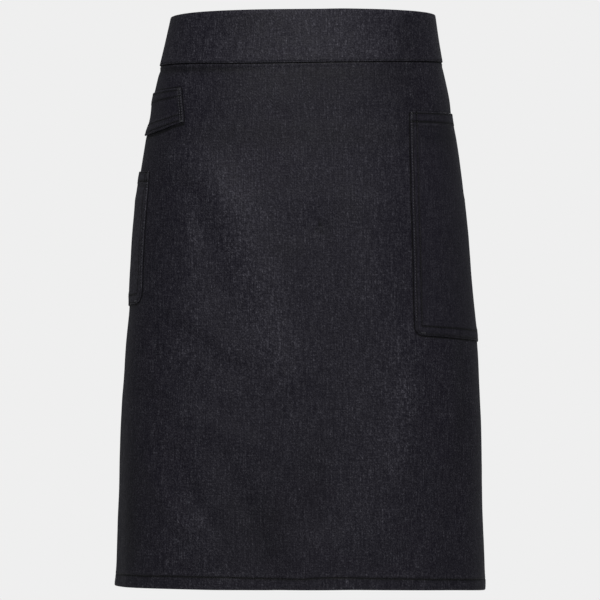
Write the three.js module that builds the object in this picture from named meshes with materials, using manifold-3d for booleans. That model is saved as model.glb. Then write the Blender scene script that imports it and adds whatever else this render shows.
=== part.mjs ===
// A waist apron of dark twill, in the form it takes when worn round the waist.
// A skirt panel hangs from a wide waistband and is open down the back. It carries a
// large side pocket, a small hip pocket and a towel loop, and one tie closes the back.
//
// Millimetres, +Z up. The front faces -Y, and +X is on the right of someone who faces it.
// The origin is the centre of the waist opening, half way up the waistband.
//
// Every layer of cloth is placed on one surface, the outside of the panel. A place on it
// is an arc, measured round the body from the centre front, and a height.

import * as THREE from "three";
import { mergeVertices } from "three/addons/utils/BufferGeometryUtils.js";
import Module from "manifold-3d";

const wasm = await Module();
wasm.setup();

// Worn shape, measured over the outside of the cloth
const waistWidth = 297;
const hipWidth = 372.5;
const hemWidth = 422;
const waistDepth = 218;
const hipDepth = 262;
const hemDepth = 256;
const hipDrop = 212;
const backGapAtWaist = 196;
const backGapAtHem = 236;

// Panel
const skirtLength = 590;
const clothThickness = 1.2;
const hemTurn = 13;
const edgeTurn = 12;

// Waistband
const bandHeight = 60;
const bandThickness = 2.6;
const bandEndCover = 7;
const tongueDepth = 10;
const layerGap = 0.5;
const foldRadius = 0.9;

// Large side pocket, on the right of the front view
const sidePocketWidth = 190;
const sidePocketHeight = 251;
const sidePocketDrop = 54.5;
const sidePocketAhead = 111;
const sidePocketSlant = 3.3;
const sidePocketFall = 12;
const sidePocketEase = 0.3;
const sidePocketCorner = 9;

// Small hip pocket, on the left of the front view
const hipPocketWidth = 112;
const hipPocketHeight = 149.5;
const hipPocketDrop = 120.5;
const hipPocketAhead = 58;
const hipPocketSlant = 3;
const hipPocketFall = 5;
const hipPocketEase = 0.3;
const hipPocketCorner = 12;

// Both pockets
const mouthTurn = 12;
const mouthLayer = 0.5;

// Towel loop, on the left of the front view
const loopLength = 176;
const loopHeight = 40;
const loopDrop = 28;
const loopAhead = 87;
const loopSlant = 7;
const loopEase = 0.7;

// Back tie
const tieWidth = 28;
const tieThickness = 2;
const tieLap = 30;
const tieDrop = 30;
const tiePinch = 0.65;
const pinchLength = 50;
const knotWidth = 36;
const knotHeight = 33;
const knotDepth = 17;
const tailLength = 232;
const tailSpread = 62;

// How finely the surfaces are divided
const columnCount = 56;
const skirtRows = 20;
const sectionSteps = 90;
const foldSteps = 12;
const stepWidth = 0.3;

const bandTop = bandHeight / 2;
const seamHeight = bandTop - bandHeight;
const hemHeight = seamHeight - skirtLength;
const hipHeight = bandTop - hipDrop;
const foldFreeHeight = skirtLength / 8;

// The band's outer face stands one layer of cloth outside the panel.
const bandFace = layerGap + clothThickness;

// The worn outline. Level runs from 0 at the top edge to 1 at the hip and 2 at the hem,
// and widen goes from the waist's size through the hip's to the hem's in the same way.
// Sway and lean move a section sideways and back, as shares of the waist's width and
// depth. Square is how flat the front is: 2 is an ellipse.
const outline = [
  { level: 0.0, widen: 0.0, sway: 0.014, lean: 0.0, square: 2.15 },
  { level: 0.25, widen: 0.273, sway: 0.0075, lean: -0.005, square: 2.2 },
  { level: 0.46, widen: 0.543, sway: 0.006, lean: -0.003, square: 2.3 },
  { level: 0.57, widen: 0.617, sway: 0.006, lean: 0.0, square: 2.35 },
  { level: 0.68, widen: 0.741, sway: 0.0035, lean: 0.004, square: 2.4 },
  { level: 0.89, widen: 0.911, sway: 0.0025, lean: 0.009, square: 2.4 },
  { level: 1.0, widen: 1.0, sway: 0.002, lean: 0.01, square: 2.4 },
  { level: 1.1, widen: 1.175, sway: 0.003, lean: 0.007, square: 2.4 },
  { level: 1.26, widen: 1.367, sway: 0.0035, lean: -0.002, square: 2.4 },
  { level: 1.37, widen: 1.575, sway: 0.0035, lean: -0.009, square: 2.4 },
  { level: 1.47, widen: 1.67, sway: 0.0035, lean: -0.014, square: 2.35 },
  { level: 1.62, widen: 1.803, sway: 0.0015, lean: -0.022, square: 2.35 },
  { level: 1.83, widen: 1.9, sway: 0.0005, lean: -0.031, square: 2.3 },
  { level: 1.94, widen: 1.945, sway: 0.0005, lean: -0.036, square: 2.3 },
  { level: 2.0, widen: 2.0, sway: -0.002, lean: -0.038, square: 2.3 },
];

// How far the three long edges leave the level. Across runs from -1 at the left back
// edge to 1 at the right one. Top and seam are shares of the band's height, and hem is
// a share of the skirt's length, all upwards.
const edges = [
  { across: -1.0, top: -0.12, seam: 0.01, hem: -0.003 },
  { across: -0.65, top: -0.078, seam: 0.0, hem: -0.002 },
  { across: -0.4, top: -0.03, seam: 0.008, hem: 0.0 },
  { across: -0.2, top: -0.012, seam: -0.012, hem: 0.0 },
  { across: 0.0, top: -0.005, seam: -0.01, hem: 0.0 },
  { across: 0.15, top: 0.008, seam: 0.006, hem: 0.0 },
  { across: 0.4, top: 0.0, seam: 0.04, hem: -0.004 },
  { across: 0.65, top: -0.03, seam: 0.072, hem: -0.011 },
  { across: 1.0, top: -0.06, seam: 0.05, hem: -0.013 },
];

// Soft folds in the skirt. Each bends from one place, past a second, to a third. Across
// is as above, and down runs from 0 at the seam to 1 at the hem. Spread is a share of
// the waist's width and rise a share of its depth, and a negative rise is a hollow.
const folds = [
  {
    name: "hip to thigh",
    fromAcross: -0.325, fromDown: 0.15, viaAcross: -0.052, viaDown: 0.236,
    toAcross: -0.038, toDown: 0.594, spread: 0.085, rise: 0.022,
  },
  {
    name: "under the hip fold",
    fromAcross: -0.312, fromDown: 0.228, viaAcross: -0.225, viaDown: 0.304,
    toAcross: -0.205, toDown: 0.433, spread: 0.05, rise: -0.013,
  },
  {
    name: "between the thighs",
    fromAcross: 0.04, fromDown: 0.31, viaAcross: 0.09, viaDown: 0.5,
    toAcross: 0.06, toDown: 0.86, spread: 0.075, rise: -0.017,
  },
  {
    name: "other thigh",
    fromAcross: 0.18, fromDown: 0.3, viaAcross: 0.24, viaDown: 0.55,
    toAcross: 0.22, toDown: 0.88, spread: 0.11, rise: 0.014,
  },
  {
    name: "low left crease",
    fromAcross: -0.38, fromDown: 0.461, viaAcross: -0.297, viaDown: 0.508,
    toAcross: -0.194, toDown: 0.546, spread: 0.04, rise: -0.009,
  },
  {
    name: "low left ridge",
    fromAcross: -0.378, fromDown: 0.588, viaAcross: -0.292, viaDown: 0.65,
    toAcross: -0.153, toDown: 0.694, spread: 0.045, rise: 0.009,
  },
  {
    name: "lowest left ridge",
    fromAcross: -0.386, fromDown: 0.755, viaAcross: -0.342, viaDown: 0.811,
    toAcross: -0.27, toDown: 0.868, spread: 0.042, rise: 0.011,
  },
  {
    name: "above the lowest left ridge",
    fromAcross: -0.325, fromDown: 0.726, viaAcross: -0.285, viaDown: 0.793,
    toAcross: -0.213, toDown: 0.849, spread: 0.038, rise: -0.01,
  },
  {
    name: "hem hollow",
    fromAcross: -0.17, fromDown: 0.76, viaAcross: -0.1, viaDown: 0.86,
    toAcross: -0.03, toDown: 1.0, spread: 0.055, rise: -0.018,
  },
  {
    name: "hem wave on the left",
    fromAcross: -0.26, fromDown: 0.8, viaAcross: -0.24, viaDown: 0.9,
    toAcross: -0.22, toDown: 1.0, spread: 0.09, rise: 0.013,
  },
  {
    name: "right knee ridge",
    fromAcross: 0.264, fromDown: 0.518, viaAcross: 0.301, viaDown: 0.631,
    toAcross: 0.255, toDown: 0.773, spread: 0.05, rise: 0.01,
  },
  {
    name: "hem wave on the right",
    fromAcross: 0.38, fromDown: 0.68, viaAcross: 0.41, viaDown: 0.85,
    toAcross: 0.42, toDown: 1.0, spread: 0.08, rise: -0.014,
  },
  {
    name: "left side hollow",
    fromAcross: -0.58, fromDown: 0.5, viaAcross: -0.57, viaDown: 0.75,
    toAcross: -0.56, toDown: 1.0, spread: 0.09, rise: -0.012,
  },
  {
    name: "left back wave",
    fromAcross: -0.85, fromDown: 0.35, viaAcross: -0.86, viaDown: 0.7,
    toAcross: -0.84, toDown: 1.0, spread: 0.1, rise: 0.03,
  },
  {
    name: "right back wave",
    fromAcross: 0.84, fromDown: 0.4, viaAcross: 0.85, viaDown: 0.7,
    toAcross: 0.83, toDown: 1.0, spread: 0.1, rise: 0.027,
  },
];

// Reads one column of a table between its rows, along a smooth curve.
function readTable(rows, place, column, at) {
  const last = rows.length - 1;
  if (at <= rows[0][place]) return rows[0][column];
  if (at >= rows[last][place]) return rows[last][column];
  const i = rows.findIndex((row) => row[place] > at) - 1;
  const slopeAt = (k) => {
    const [low, high] = [rows[Math.max(k - 1, 0)], rows[Math.min(k + 1, last)]];
    return (high[column] - low[column]) / (high[place] - low[place]);
  };
  const [from, to] = [rows[i], rows[i + 1]];
  const span = to[place] - from[place];
  const t = (at - from[place]) / span;
  const ease = t * t * (3 - 2 * t);
  const leave = t * (1 - t) * (1 - t) * span * slopeAt(i);
  const arrive = t * t * (t - 1) * span * slopeAt(i + 1);
  return from[column] + (to[column] - from[column]) * ease + leave + arrive;
}

// A value that goes from the waist's through the hip's to the hem's, as widen does.
function graded(widen, atWaist, atHip, atHem) {
  const toHip = Math.min(widen, 1);
  const toHem = Math.max(widen - 1, 0);
  return atWaist + (atHip - atWaist) * toHip + (atHem - atHip) * toHem;
}

const signedPower = (value, power) => Math.sign(value) * Math.abs(value) ** power;

const knownSections = new Map();

// The horizontal section at a height, with its arc length measured at even turns.
function sectionAt(height) {
  const key = height.toFixed(4);
  if (knownSections.has(key)) return knownSections.get(key);
  const level =
    height > hipHeight
      ? (bandTop - height) / hipDrop
      : 1 + (hipHeight - height) / (hipHeight - hemHeight);
  const read = (column) => readTable(outline, "level", column, level);
  const widen = read("widen");
  const halfWidth = graded(widen, waistWidth, hipWidth, hemWidth) / 2;
  const halfDepth = graded(widen, waistDepth, hipDepth, hemDepth) / 2;
  const middle = [read("sway") * waistWidth, read("lean") * waistDepth];
  const power = 2 / read("square");
  const pointAt = (turn) =>
    new THREE.Vector2(
      halfWidth * signedPower(Math.sin(turn), power),
      -halfDepth * signedPower(Math.cos(turn), power),
    );
  const arcs = [0];
  for (let k = 1; k <= sectionSteps; k++) {
    const [a, b] = [k - 1, k].map((n) => pointAt((n / sectionSteps) * Math.PI));
    arcs.push(arcs[k - 1] + a.distanceTo(b));
  }
  const section = { middle, pointAt, arcs, halfGirth: arcs[sectionSteps] };
  knownSections.set(key, section);
  return section;
}

// The turn round the section that lies a given arc from the centre front.
function turnAt(section, arc) {
  const size = Math.min(Math.abs(arc), section.halfGirth);
  const k = Math.max(1, section.arcs.findIndex((length) => length >= size));
  const [low, high] = [section.arcs[k - 1], section.arcs[k]];
  const turn = ((k - 1 + (size - low) / (high - low)) / sectionSteps) * Math.PI;
  return arc < 0 ? -turn : turn;
}

// Half the width of the cloth, measured round the body at a height.
function halfSpan(height) {
  const down = (bandTop - height) / (bandTop - hemHeight);
  const gap = backGapAtWaist + (backGapAtHem - backGapAtWaist) * down;
  return sectionAt(height).halfGirth - gap / 2;
}

const sideArc = (height) => sectionAt(height).halfGirth / 2;

// How far the folds lift the cloth at a place.
function foldRise(arc, height) {
  const half = halfSpan(height);
  const place = [arc, height];
  let rise = 0;
  for (const fold of folds) {
    const at = (across, down) => [across * half, seamHeight - down * skirtLength];
    const [from, via, to] = [
      at(fold.fromAcross, fold.fromDown),
      at(fold.viaAcross, fold.viaDown),
      at(fold.toAcross, fold.toDown),
    ];
    let nearest = Infinity;
    for (let k = 0; k <= foldSteps; k++) {
      const t = k / foldSteps;
      const curve = [0, 1].map(
        (n) => (1 - t) ** 2 * from[n] + 2 * t * (1 - t) * via[n] + t * t * to[n],
      );
      nearest = Math.min(nearest, Math.hypot(curve[0] - place[0], curve[1] - place[1]));
    }
    const spread = fold.spread * waistWidth;
    rise += fold.rise * waistDepth * Math.exp(-((nearest / spread) ** 2));
  }
  const below = THREE.MathUtils.smoothstep(seamHeight - height, 0, foldFreeHeight);
  return rise * below;
}

function plainPoint(arc, height) {
  const section = sectionAt(height);
  const flat = section.pointAt(turnAt(section, arc));
  return new THREE.Vector3(flat.x + section.middle[0], flat.y + section.middle[1], height);
}

// The outward normal of a surface given as a function of arc and height, from two short
// steps across it.
function normalOf(surface, arc, height) {
  const step = 2 * clothThickness;
  const round = surface(arc + step, height).sub(surface(arc - step, height));
  const down = surface(arc, height - step).sub(surface(arc, height + step));
  return round.cross(down).negate().normalize();
}

function foldedPoint(arc, height) {
  const out = normalOf(plainPoint, arc, height);
  return plainPoint(arc, height).addScaledVector(out, foldRise(arc, height));
}

// A point on the outside of the panel, or a given distance out from it.
function clothPoint(arc, height, out = 0) {
  const normal = normalOf(foldedPoint, arc, height);
  return foldedPoint(arc, height).addScaledVector(normal, out);
}

// Heights of the three long edges at a place across the cloth
const edgeAt = (column, across) => readTable(edges, "across", column, across);
const topAt = (across) => bandTop + edgeAt("top", across) * bandHeight;
const seamAt = (across) => seamHeight + edgeAt("seam", across) * bandHeight;
const hemAt = (across) => hemHeight + edgeAt("hem", across) * skirtLength;

const spaced = (from, to, count) =>
  Array.from({ length: count + 1 }, (_, k) => from + ((to - from) * k) / count);

// A closed sheet between two grids of points. Columns run round the body towards +X and
// rows run downwards, and at(column, row) gives the outer and the inner point.
function sheet(columns, rows, at) {
  const wide = columns.length;
  const tall = rows.length;
  const pairs = rows.flatMap((row) => columns.map((column) => at(column, row)));
  const points = [...pairs.map((pair) => pair[0]), ...pairs.map((pair) => pair[1])];
  const outer = (c, r) => r * wide + c;
  const inner = (c, r) => wide * tall + outer(c, r);
  const index = [];
  const quad = (a, b, c, d) => index.push(a, b, c, a, c, d);
  for (let c = 0; c < wide - 1; c++) {
    for (let r = 0; r < tall - 1; r++) {
      quad(outer(c, r), outer(c, r + 1), outer(c + 1, r + 1), outer(c + 1, r));
      quad(inner(c, r), inner(c + 1, r), inner(c + 1, r + 1), inner(c, r + 1));
    }
    quad(outer(c, 0), outer(c + 1, 0), inner(c + 1, 0), inner(c, 0));
    const low = tall - 1;
    quad(outer(c, low), inner(c, low), inner(c + 1, low), outer(c + 1, low));
  }
  for (let r = 0; r < tall - 1; r++) {
    const far = wide - 1;
    quad(outer(0, r), inner(0, r), inner(0, r + 1), outer(0, r + 1));
    quad(outer(far, r), outer(far, r + 1), inner(far, r + 1), inner(far, r));
  }
  return new THREE.BufferGeometry().setFromPoints(points).setIndex(index);
}

function toSolid(geometry) {
  const bare = geometry.clone().deleteAttribute("normal").deleteAttribute("uv");
  const merged = mergeVertices(bare, 1e-4);
  return new wasm.Manifold(
    new wasm.Mesh({
      numProp: 3,
      vertProperties: merged.attributes.position.array,
      triVerts: new Uint32Array(merged.index.array),
    }),
  );
}

function toGeometry(solid) {
  const { vertProperties, triVerts } = solid.getMesh();
  return new THREE.BufferGeometry()
    .setAttribute("position", new THREE.BufferAttribute(new Float32Array(vertProperties), 3))
    .setIndex(new THREE.BufferAttribute(new Uint32Array(triVerts), 1));
}

// Places across the cloth that the panel and the band share
const acrossColumns = spaced(-1, 1, columnCount);

// Skirt panel, with its hem and back edges turned to the inside. Two rows or columns
// that lie close together make the step where the turned cloth ends.
function panelGeometry() {
  const rows = [
    { from: -tongueDepth, down: 0 },
    { from: layerGap, down: 0 },
    { from: layerGap + stepWidth, down: 0 },
    ...spaced(1 / skirtRows, 1 - 1 / skirtRows, skirtRows - 2).map((down) => ({ from: 0, down })),
    { from: stepWidth + hemTurn, down: 1 },
    { from: hemTurn, down: 1 },
    { from: 0, down: 1 },
  ];
  const inEdge = [-1, 1].flatMap((side) =>
    [edgeTurn, edgeTurn + stepWidth].map((inset) => ({ side, inset })),
  );
  const columns = [
    { side: -1, inset: 0 },
    inEdge[0],
    inEdge[1],
    ...acrossColumns.slice(2, -2).map((across) => ({ across })),
    inEdge[3],
    inEdge[2],
    { side: 1, inset: 0 },
  ];
  return sheet(columns, rows, (column, row) => {
    const share = column.across ?? column.side;
    const top = seamAt(share);
    const bottom = hemAt(share);
    const height =
      row.down === 1 ? bottom + row.from : top - row.from + (bottom - top) * row.down;
    const half = halfSpan(height);
    const arc = column.across === undefined ? column.side * (half - column.inset) : share * half;
    const inBand = row.down === 0 && row.from <= layerGap;
    const turned = (row.down === 1 && row.from <= hemTurn) || column.inset <= edgeTurn;
    const thickness = turned && !inBand ? 2 * clothThickness : clothThickness;
    return [clothPoint(arc, height), clothPoint(arc, height, -thickness)];
  });
}

// A closed body along a row of loops that all have as many points. The loops run towards
// +X round the body, and each goes up the outside and down the inside.
function sweep(loops, contour) {
  const size = contour.length;
  const at = (loop, k) => loop * size + (k % size);
  const index = [];
  for (let loop = 0; loop < loops.length - 1; loop++) {
    for (let k = 0; k < size; k++) {
      const [a, b] = [at(loop, k), at(loop + 1, k)];
      const [c, d] = [at(loop + 1, k + 1), at(loop, k + 1)];
      index.push(a, b, c, a, c, d);
    }
  }
  const far = loops.length - 1;
  for (const [a, b, c] of THREE.ShapeUtils.triangulateShape(contour, [])) {
    index.push(at(0, a), at(0, b), at(0, c), at(far, a), at(far, c), at(far, b));
  }
  return new THREE.BufferGeometry().setFromPoints(loops.flat()).setIndex(index);
}

// Waistband: two layers folded over at the top, with a slot below for the panel's top
// edge. Part is 0 at the seam and 1 at the top edge, and rise is measured from there.
function waistbandGeometry() {
  const plainBack = bandFace - bandThickness;
  const slotFront = layerGap;
  const slotBack = -clothThickness - layerGap;
  const lipBack = slotBack - clothThickness;
  const slotRise = tongueDepth + layerGap;
  const slotRoof = slotRise + clothThickness + layerGap;
  const lip = foldRadius / 3;
  const profile = [
    { out: bandFace - lip, part: 0, rise: 0 },
    { out: bandFace, part: 0, rise: foldRadius },
    { out: bandFace, part: 0.5, rise: 0 },
    { out: bandFace, part: 1, rise: -foldRadius },
    { out: bandFace - foldRadius, part: 1, rise: 0 },
    { out: plainBack + foldRadius, part: 1, rise: 0 },
    { out: plainBack, part: 1, rise: -foldRadius },
    { out: plainBack, part: 0.5, rise: 0 },
    { out: lipBack, part: 0, rise: slotRoof },
    { out: lipBack, part: 0, rise: foldRadius },
    { out: lipBack + lip, part: 0, rise: 0 },
    { out: slotBack, part: 0, rise: 0 },
    { out: slotBack, part: 0, rise: slotRise, closes: true },
    { out: slotFront, part: 0, rise: slotRise, closes: true },
    { out: slotFront, part: 0, rise: 0 },
  ];
  const ends = [-1, 1].map((side) => ({ across: side, cover: side * bandEndCover }));
  const columns = [ends[0], ...acrossColumns.map((across) => ({ across, cover: 0 })), ends[1]];
  const loops = columns.map(({ across, cover }) =>
    profile.map(({ out, part, rise, closes }) => {
      const [low, high] = [seamAt(across), topAt(across)];
      const height = low + (high - low) * part + (closes && cover ? lip : rise);
      return clothPoint(across * halfSpan(height) + cover, height, out);
    }),
  );
  const contour = profile.map(
    ({ out, part, rise }) => new THREE.Vector2(out, part * bandHeight + rise),
  );
  return sweep(loops, contour);
}

// A patch pocket: open at the top, where its edge is turned, and with rounded low corners.
// Side is -1 on the left of the front view and 1 on the right. The cloth lies a layer gap
// from the panel along the three stitched edges and eases away from it towards the mouth.
function pocketGeometry(pocket) {
  const top = seamHeight - pocket.drop;
  const frontArc = sideArc(top) - pocket.ahead;
  const cornerTurns = spaced(0, 1, 3).map((t) => 1 - Math.cos((t * Math.PI) / 2));
  const corner = cornerTurns.map((t) => t * pocket.corner);
  const between = spaced(pocket.corner, pocket.width - pocket.corner, pocket.columns).slice(1, -1);
  const fromFront = [...corner, ...between, ...corner.map((x) => pocket.width - x).reverse()];
  const columns = pocket.side > 0 ? fromFront : [...fromFront].reverse();
  const rows = [
    { down: 0, layer: mouthLayer },
    { down: mouthTurn, layer: mouthLayer },
    { down: mouthTurn + stepWidth, layer: 0 },
    ...spaced(mouthTurn, pocket.height, pocket.rows).slice(1).map((down) => ({ down, layer: 0 })),
  ];
  return sheet(columns, rows, (x, row) => {
    const fromCorner = Math.max(pocket.corner - Math.min(x, pocket.width - x), 0);
    const lift = pocket.corner - Math.sqrt(pocket.corner ** 2 - fromCorner ** 2);
    const share = row.down / pocket.height;
    const fall = pocket.fall * share * (x / pocket.width);
    const height = top - row.down - fall + lift * share ** 3;
    const arc = pocket.side * (frontArc + x + pocket.slant * share);
    const away = Math.sin((Math.PI * x) / pocket.width) ** 2 * (1 - share) ** 2;
    const back = layerGap + pocket.ease * away;
    return [
      clothPoint(arc, height, back + clothThickness + row.layer),
      clothPoint(arc, height, back),
    ];
  });
}

// Towel loop: a strip stitched down at both ends, that sags and stands off a little
// between them. Along runs from its front end to its back end.
const loopShape = [
  { along: 0.0, top: 0.0, height: 0.96, away: 0.0 },
  { along: 0.07, top: -0.02, height: 1.0, away: 0.0 },
  { along: 0.2, top: -0.05, height: 1.1, away: 0.45 },
  { along: 0.5, top: -0.1, height: 1.18, away: 1.0 },
  { along: 0.8, top: -0.05, height: 1.1, away: 0.45 },
  { along: 0.93, top: -0.02, height: 1.0, away: 0.0 },
  { along: 1.0, top: 0.0, height: 0.96, away: 0.0 },
];

function towelLoopGeometry() {
  const top = seamHeight - loopDrop;
  const frontArc = sideArc(top) - loopAhead;
  const columns = spaced(1, 0, 18);
  const rows = spaced(0, 1, 5);
  return sheet(columns, rows, (along, across) => {
    const read = (column) => readTable(loopShape, "along", column, along);
    const height = top + (read("top") - across * read("height")) * loopHeight;
    const away = layerGap + (loopEase * read("away") * (1 + across)) / 2;
    const arc = -(frontArc + along * loopLength - across * loopSlant);
    return [clothPoint(arc, height, away + clothThickness), clothPoint(arc, height, away)];
  });
}

// A point on the cloth's surface at a distance to the +X side of the centre back.
function backPoint(offset, height, out) {
  const girth = sectionAt(height).halfGirth;
  return clothPoint(offset >= 0 ? girth - offset : -girth - offset, height, out);
}

// Back tie: a tape stitched over both ends of the waistband, knotted at the centre back,
// with two tails that hang down the back. One plain piece.
function backTieGeometry() {
  const middle = bandTop - tieDrop;
  const bandEnd = sectionAt(middle).halfGirth - halfSpan(middle) - bandEndCover;
  const reach = bandEnd + tieLap;
  const widthAt = (fromKnot) =>
    tieWidth * THREE.MathUtils.lerp(tiePinch, 1, THREE.MathUtils.smoothstep(fromKnot, 0, pinchLength));
  const girdle = sheet(spaced(reach, -reach, 40), [0.5, 0, -0.5], (offset, up) => {
    const onBand = THREE.MathUtils.smoothstep(Math.abs(offset), bandEnd - tieLap, bandEnd);
    const out = (bandFace + layerGap) * onBand;
    const height = middle + up * widthAt(Math.abs(offset));
    return [backPoint(offset, height, out + tieThickness), backPoint(offset, height, out)];
  });
  const knot = new THREE.SphereGeometry(0.5, 20, 12).scale(knotWidth, knotDepth, knotHeight);
  const knotPlace = backPoint(0, middle, knotDepth / 4);
  knot.translate(knotPlace.x, knotPlace.y, knotPlace.z);
  const tails = [1, -1].map((side) =>
    sheet([0.5, 0, -0.5], spaced(0, 1, 14), (across, down) => {
      const fromKnot = down * tailLength;
      const height = middle - knotHeight / 4 - fromKnot;
      const offset = side * (knotWidth / 8 + (tailSpread / 2) * down) + across * widthAt(fromKnot);
      const crossing = side > 0 ? 0 : tieThickness + layerGap;
      const out = layerGap + (crossing + knotDepth / 4) * (1 - down);
      return [backPoint(offset, height, out + tieThickness), backPoint(offset, height, out)];
    }),
  );
  return toGeometry(
    [girdle, knot, ...tails].map(toSolid).reduce((whole, piece) => whole.add(piece)),
  );
}

const twill = { color: 0x27262b, roughness: 0.72, metalness: 0 };
const tape = { color: 0x232226, roughness: 0.8, metalness: 0 };

function piece(name, geometry, finish) {
  geometry.computeVertexNormals();
  const mesh = new THREE.Mesh(geometry, new THREE.MeshStandardMaterial(finish));
  mesh.name = name;
  return mesh;
}

const sidePocket = {
  side: 1,
  width: sidePocketWidth,
  height: sidePocketHeight,
  drop: sidePocketDrop,
  ahead: sidePocketAhead,
  slant: sidePocketSlant,
  fall: sidePocketFall,
  ease: sidePocketEase,
  corner: sidePocketCorner,
  columns: 12,
  rows: 11,
};

const hipPocket = {
  side: -1,
  width: hipPocketWidth,
  height: hipPocketHeight,
  drop: hipPocketDrop,
  ahead: hipPocketAhead,
  slant: hipPocketSlant,
  fall: hipPocketFall,
  ease: hipPocketEase,
  corner: hipPocketCorner,
  columns: 7,
  rows: 8,
};

const apron = new THREE.Group();
apron.add(
  piece("apron_panel", panelGeometry(), twill),
  piece("waistband", waistbandGeometry(), twill),
  piece("side_pocket", pocketGeometry(sidePocket), twill),
  piece("hip_pocket", pocketGeometry(hipPocket), twill),
  piece("towel_loop", towelLoopGeometry(), twill),
  piece("back_tie", backTieGeometry(), tape),
);

export default apron;
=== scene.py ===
# A waist apron of black waxed twill, in the form that it takes when worn.
# The panel, waistband, pockets, towel loop and back tie are dressed with turned edges,
# topstitching, soft folds and a woven finish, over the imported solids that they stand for.
import math

import bpy
import numpy as np
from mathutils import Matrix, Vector


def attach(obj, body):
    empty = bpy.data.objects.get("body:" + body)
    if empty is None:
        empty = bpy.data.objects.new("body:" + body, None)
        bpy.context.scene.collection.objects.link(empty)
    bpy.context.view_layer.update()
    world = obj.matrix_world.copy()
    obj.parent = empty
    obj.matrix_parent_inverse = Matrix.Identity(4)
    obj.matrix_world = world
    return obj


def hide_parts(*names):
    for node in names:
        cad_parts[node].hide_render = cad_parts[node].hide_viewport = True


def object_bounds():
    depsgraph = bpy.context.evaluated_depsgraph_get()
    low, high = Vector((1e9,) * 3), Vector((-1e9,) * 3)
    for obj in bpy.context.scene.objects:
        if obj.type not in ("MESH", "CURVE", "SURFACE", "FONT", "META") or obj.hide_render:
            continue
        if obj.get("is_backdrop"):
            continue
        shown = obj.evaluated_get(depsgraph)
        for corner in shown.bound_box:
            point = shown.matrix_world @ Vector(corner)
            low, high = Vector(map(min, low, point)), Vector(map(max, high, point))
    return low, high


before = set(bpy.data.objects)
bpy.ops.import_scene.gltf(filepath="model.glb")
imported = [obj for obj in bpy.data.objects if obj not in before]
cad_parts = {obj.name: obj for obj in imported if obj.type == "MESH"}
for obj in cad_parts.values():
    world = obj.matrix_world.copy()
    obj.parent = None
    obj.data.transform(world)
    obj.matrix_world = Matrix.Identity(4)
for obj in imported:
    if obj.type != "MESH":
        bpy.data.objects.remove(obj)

CAD_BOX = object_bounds()

# Metres, +Z up. The front faces -Y, and +X is on the right of someone who faces it.
# Every layer lies on one surface, the outside of the panel. A place on it is an arc,
# measured round the body from the centre front, and a height.
MM = 0.001

# Worn shape
WAIST_WIDTH, WAIST_DEPTH = 0.297, 0.218
HIP_WIDTH, HIP_DEPTH = 0.3725, 0.262
HEM_WIDTH, HEM_DEPTH = 0.422, 0.256
HIP_DROP = 0.212
BACK_GAP_AT_WAIST, BACK_GAP_AT_HEM = 0.196, 0.236
SKIRT_LENGTH = 0.590
BAND_HEIGHT = 0.060

# Layers of cloth
CLOTH = 1.2 * MM
LAYER_GAP = 0.5 * MM
EDGE_TURN = 12 * MM
BAND_END_COVER = 7 * MM
BAND_FACE = LAYER_GAP + CLOTH

BAND_TOP = BAND_HEIGHT / 2
SEAM_HEIGHT = BAND_TOP - BAND_HEIGHT
HEM_HEIGHT = SEAM_HEIGHT - SKIRT_LENGTH
HIP_HEIGHT = BAND_TOP - HIP_DROP
FOLD_FREE_HEIGHT = SKIRT_LENGTH / 8

# Topstitching: distances from an edge to its rows, and the thread
EDGE_ROW = 1.8 * MM
HEM_ROW = 12.3 * MM
SIDE_HEM_ROW = 11 * MM
MOUTH_ROW = 11.6 * MM
LOOP_EDGE_ROW = 2.6 * MM
LOOP_ROW = 10.2 * MM
STITCH_PITCH = 3.1 * MM
THREAD_RADIUS = 0.27 * MM
PLAIN_ROW = {
    "pitch": STITCH_PITCH, "length": 0.86, "radius": THREAD_RADIUS, "lean": 0.05, "sink": 0.04 * MM,
}
# Sizes of the rows sewn in the lighter thread that stands for the stitches' painted highlight
HIGHLIT_ROW = {"pitch": 3.2 * MM, "length": 0.56, "radius": 0.32 * MM, "sink": 0.14 * MM}
STITCH_RINGS, STITCH_SIDES = 5, 6
STITCH_RISE = 0.9
STITCH_TAPER, STITCH_SINK = 0.72, 0.2
TURN_SPREAD, SIDE_SPREAD = 0.05, 0.06 * MM

# Sampling of the surface
GRID = 1.5 * MM
GRID_MARGIN = 0.012
SECTION_STEPS, PAST_BACK = 720, 1.2
FOLD_STEPS = 24
LATTICE = 64

# Millimetres from an edge and from a row of stitches, where a sheet is divided finely
EDGE_STEPS = (0, 0.2, 0.5, 0.9, 1.3)
ROW_STEPS = (-1.3, -0.7, -0.3, 0, 0.3, 0.7, 1.3)

# The panel: its grid, its inside face and the strength of its painted fold light and painted fold shade
PANEL_STEP = 4.3 * MM
SIDE_ZONE, TOP_ZONE, HEM_ZONE = 15 * MM, 11 * MM, 18 * MM
PANEL_RADIUS = 1.1 * MM
SEAM_STEPS = np.array([-9.5, -4, 0, 0.6, 1.2, 1.9, 2.6, 3.6, 5, 6.5, 8.5])
INSIDE_RELIEF = 0.6
PAINTED_LIGHT_STRENGTH, PAINTED_SHADE_STRENGTH = 0.7, 1.06

# The small pucker at the front, where the panel is divided more finely
PUCKER_ACROSS, PUCKER_DOWN = 0.05, 0.315
PUCKER_STEPS = np.linspace(-8, 8, 14) * MM

# The painted shadow line on the panel beside a patch, and how far round it is measured
BESIDE_REACH = 10 * MM
BESIDE_CENTRE, BESIDE_WIDTH = 1.0 * MM, 1.1 * MM

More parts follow.
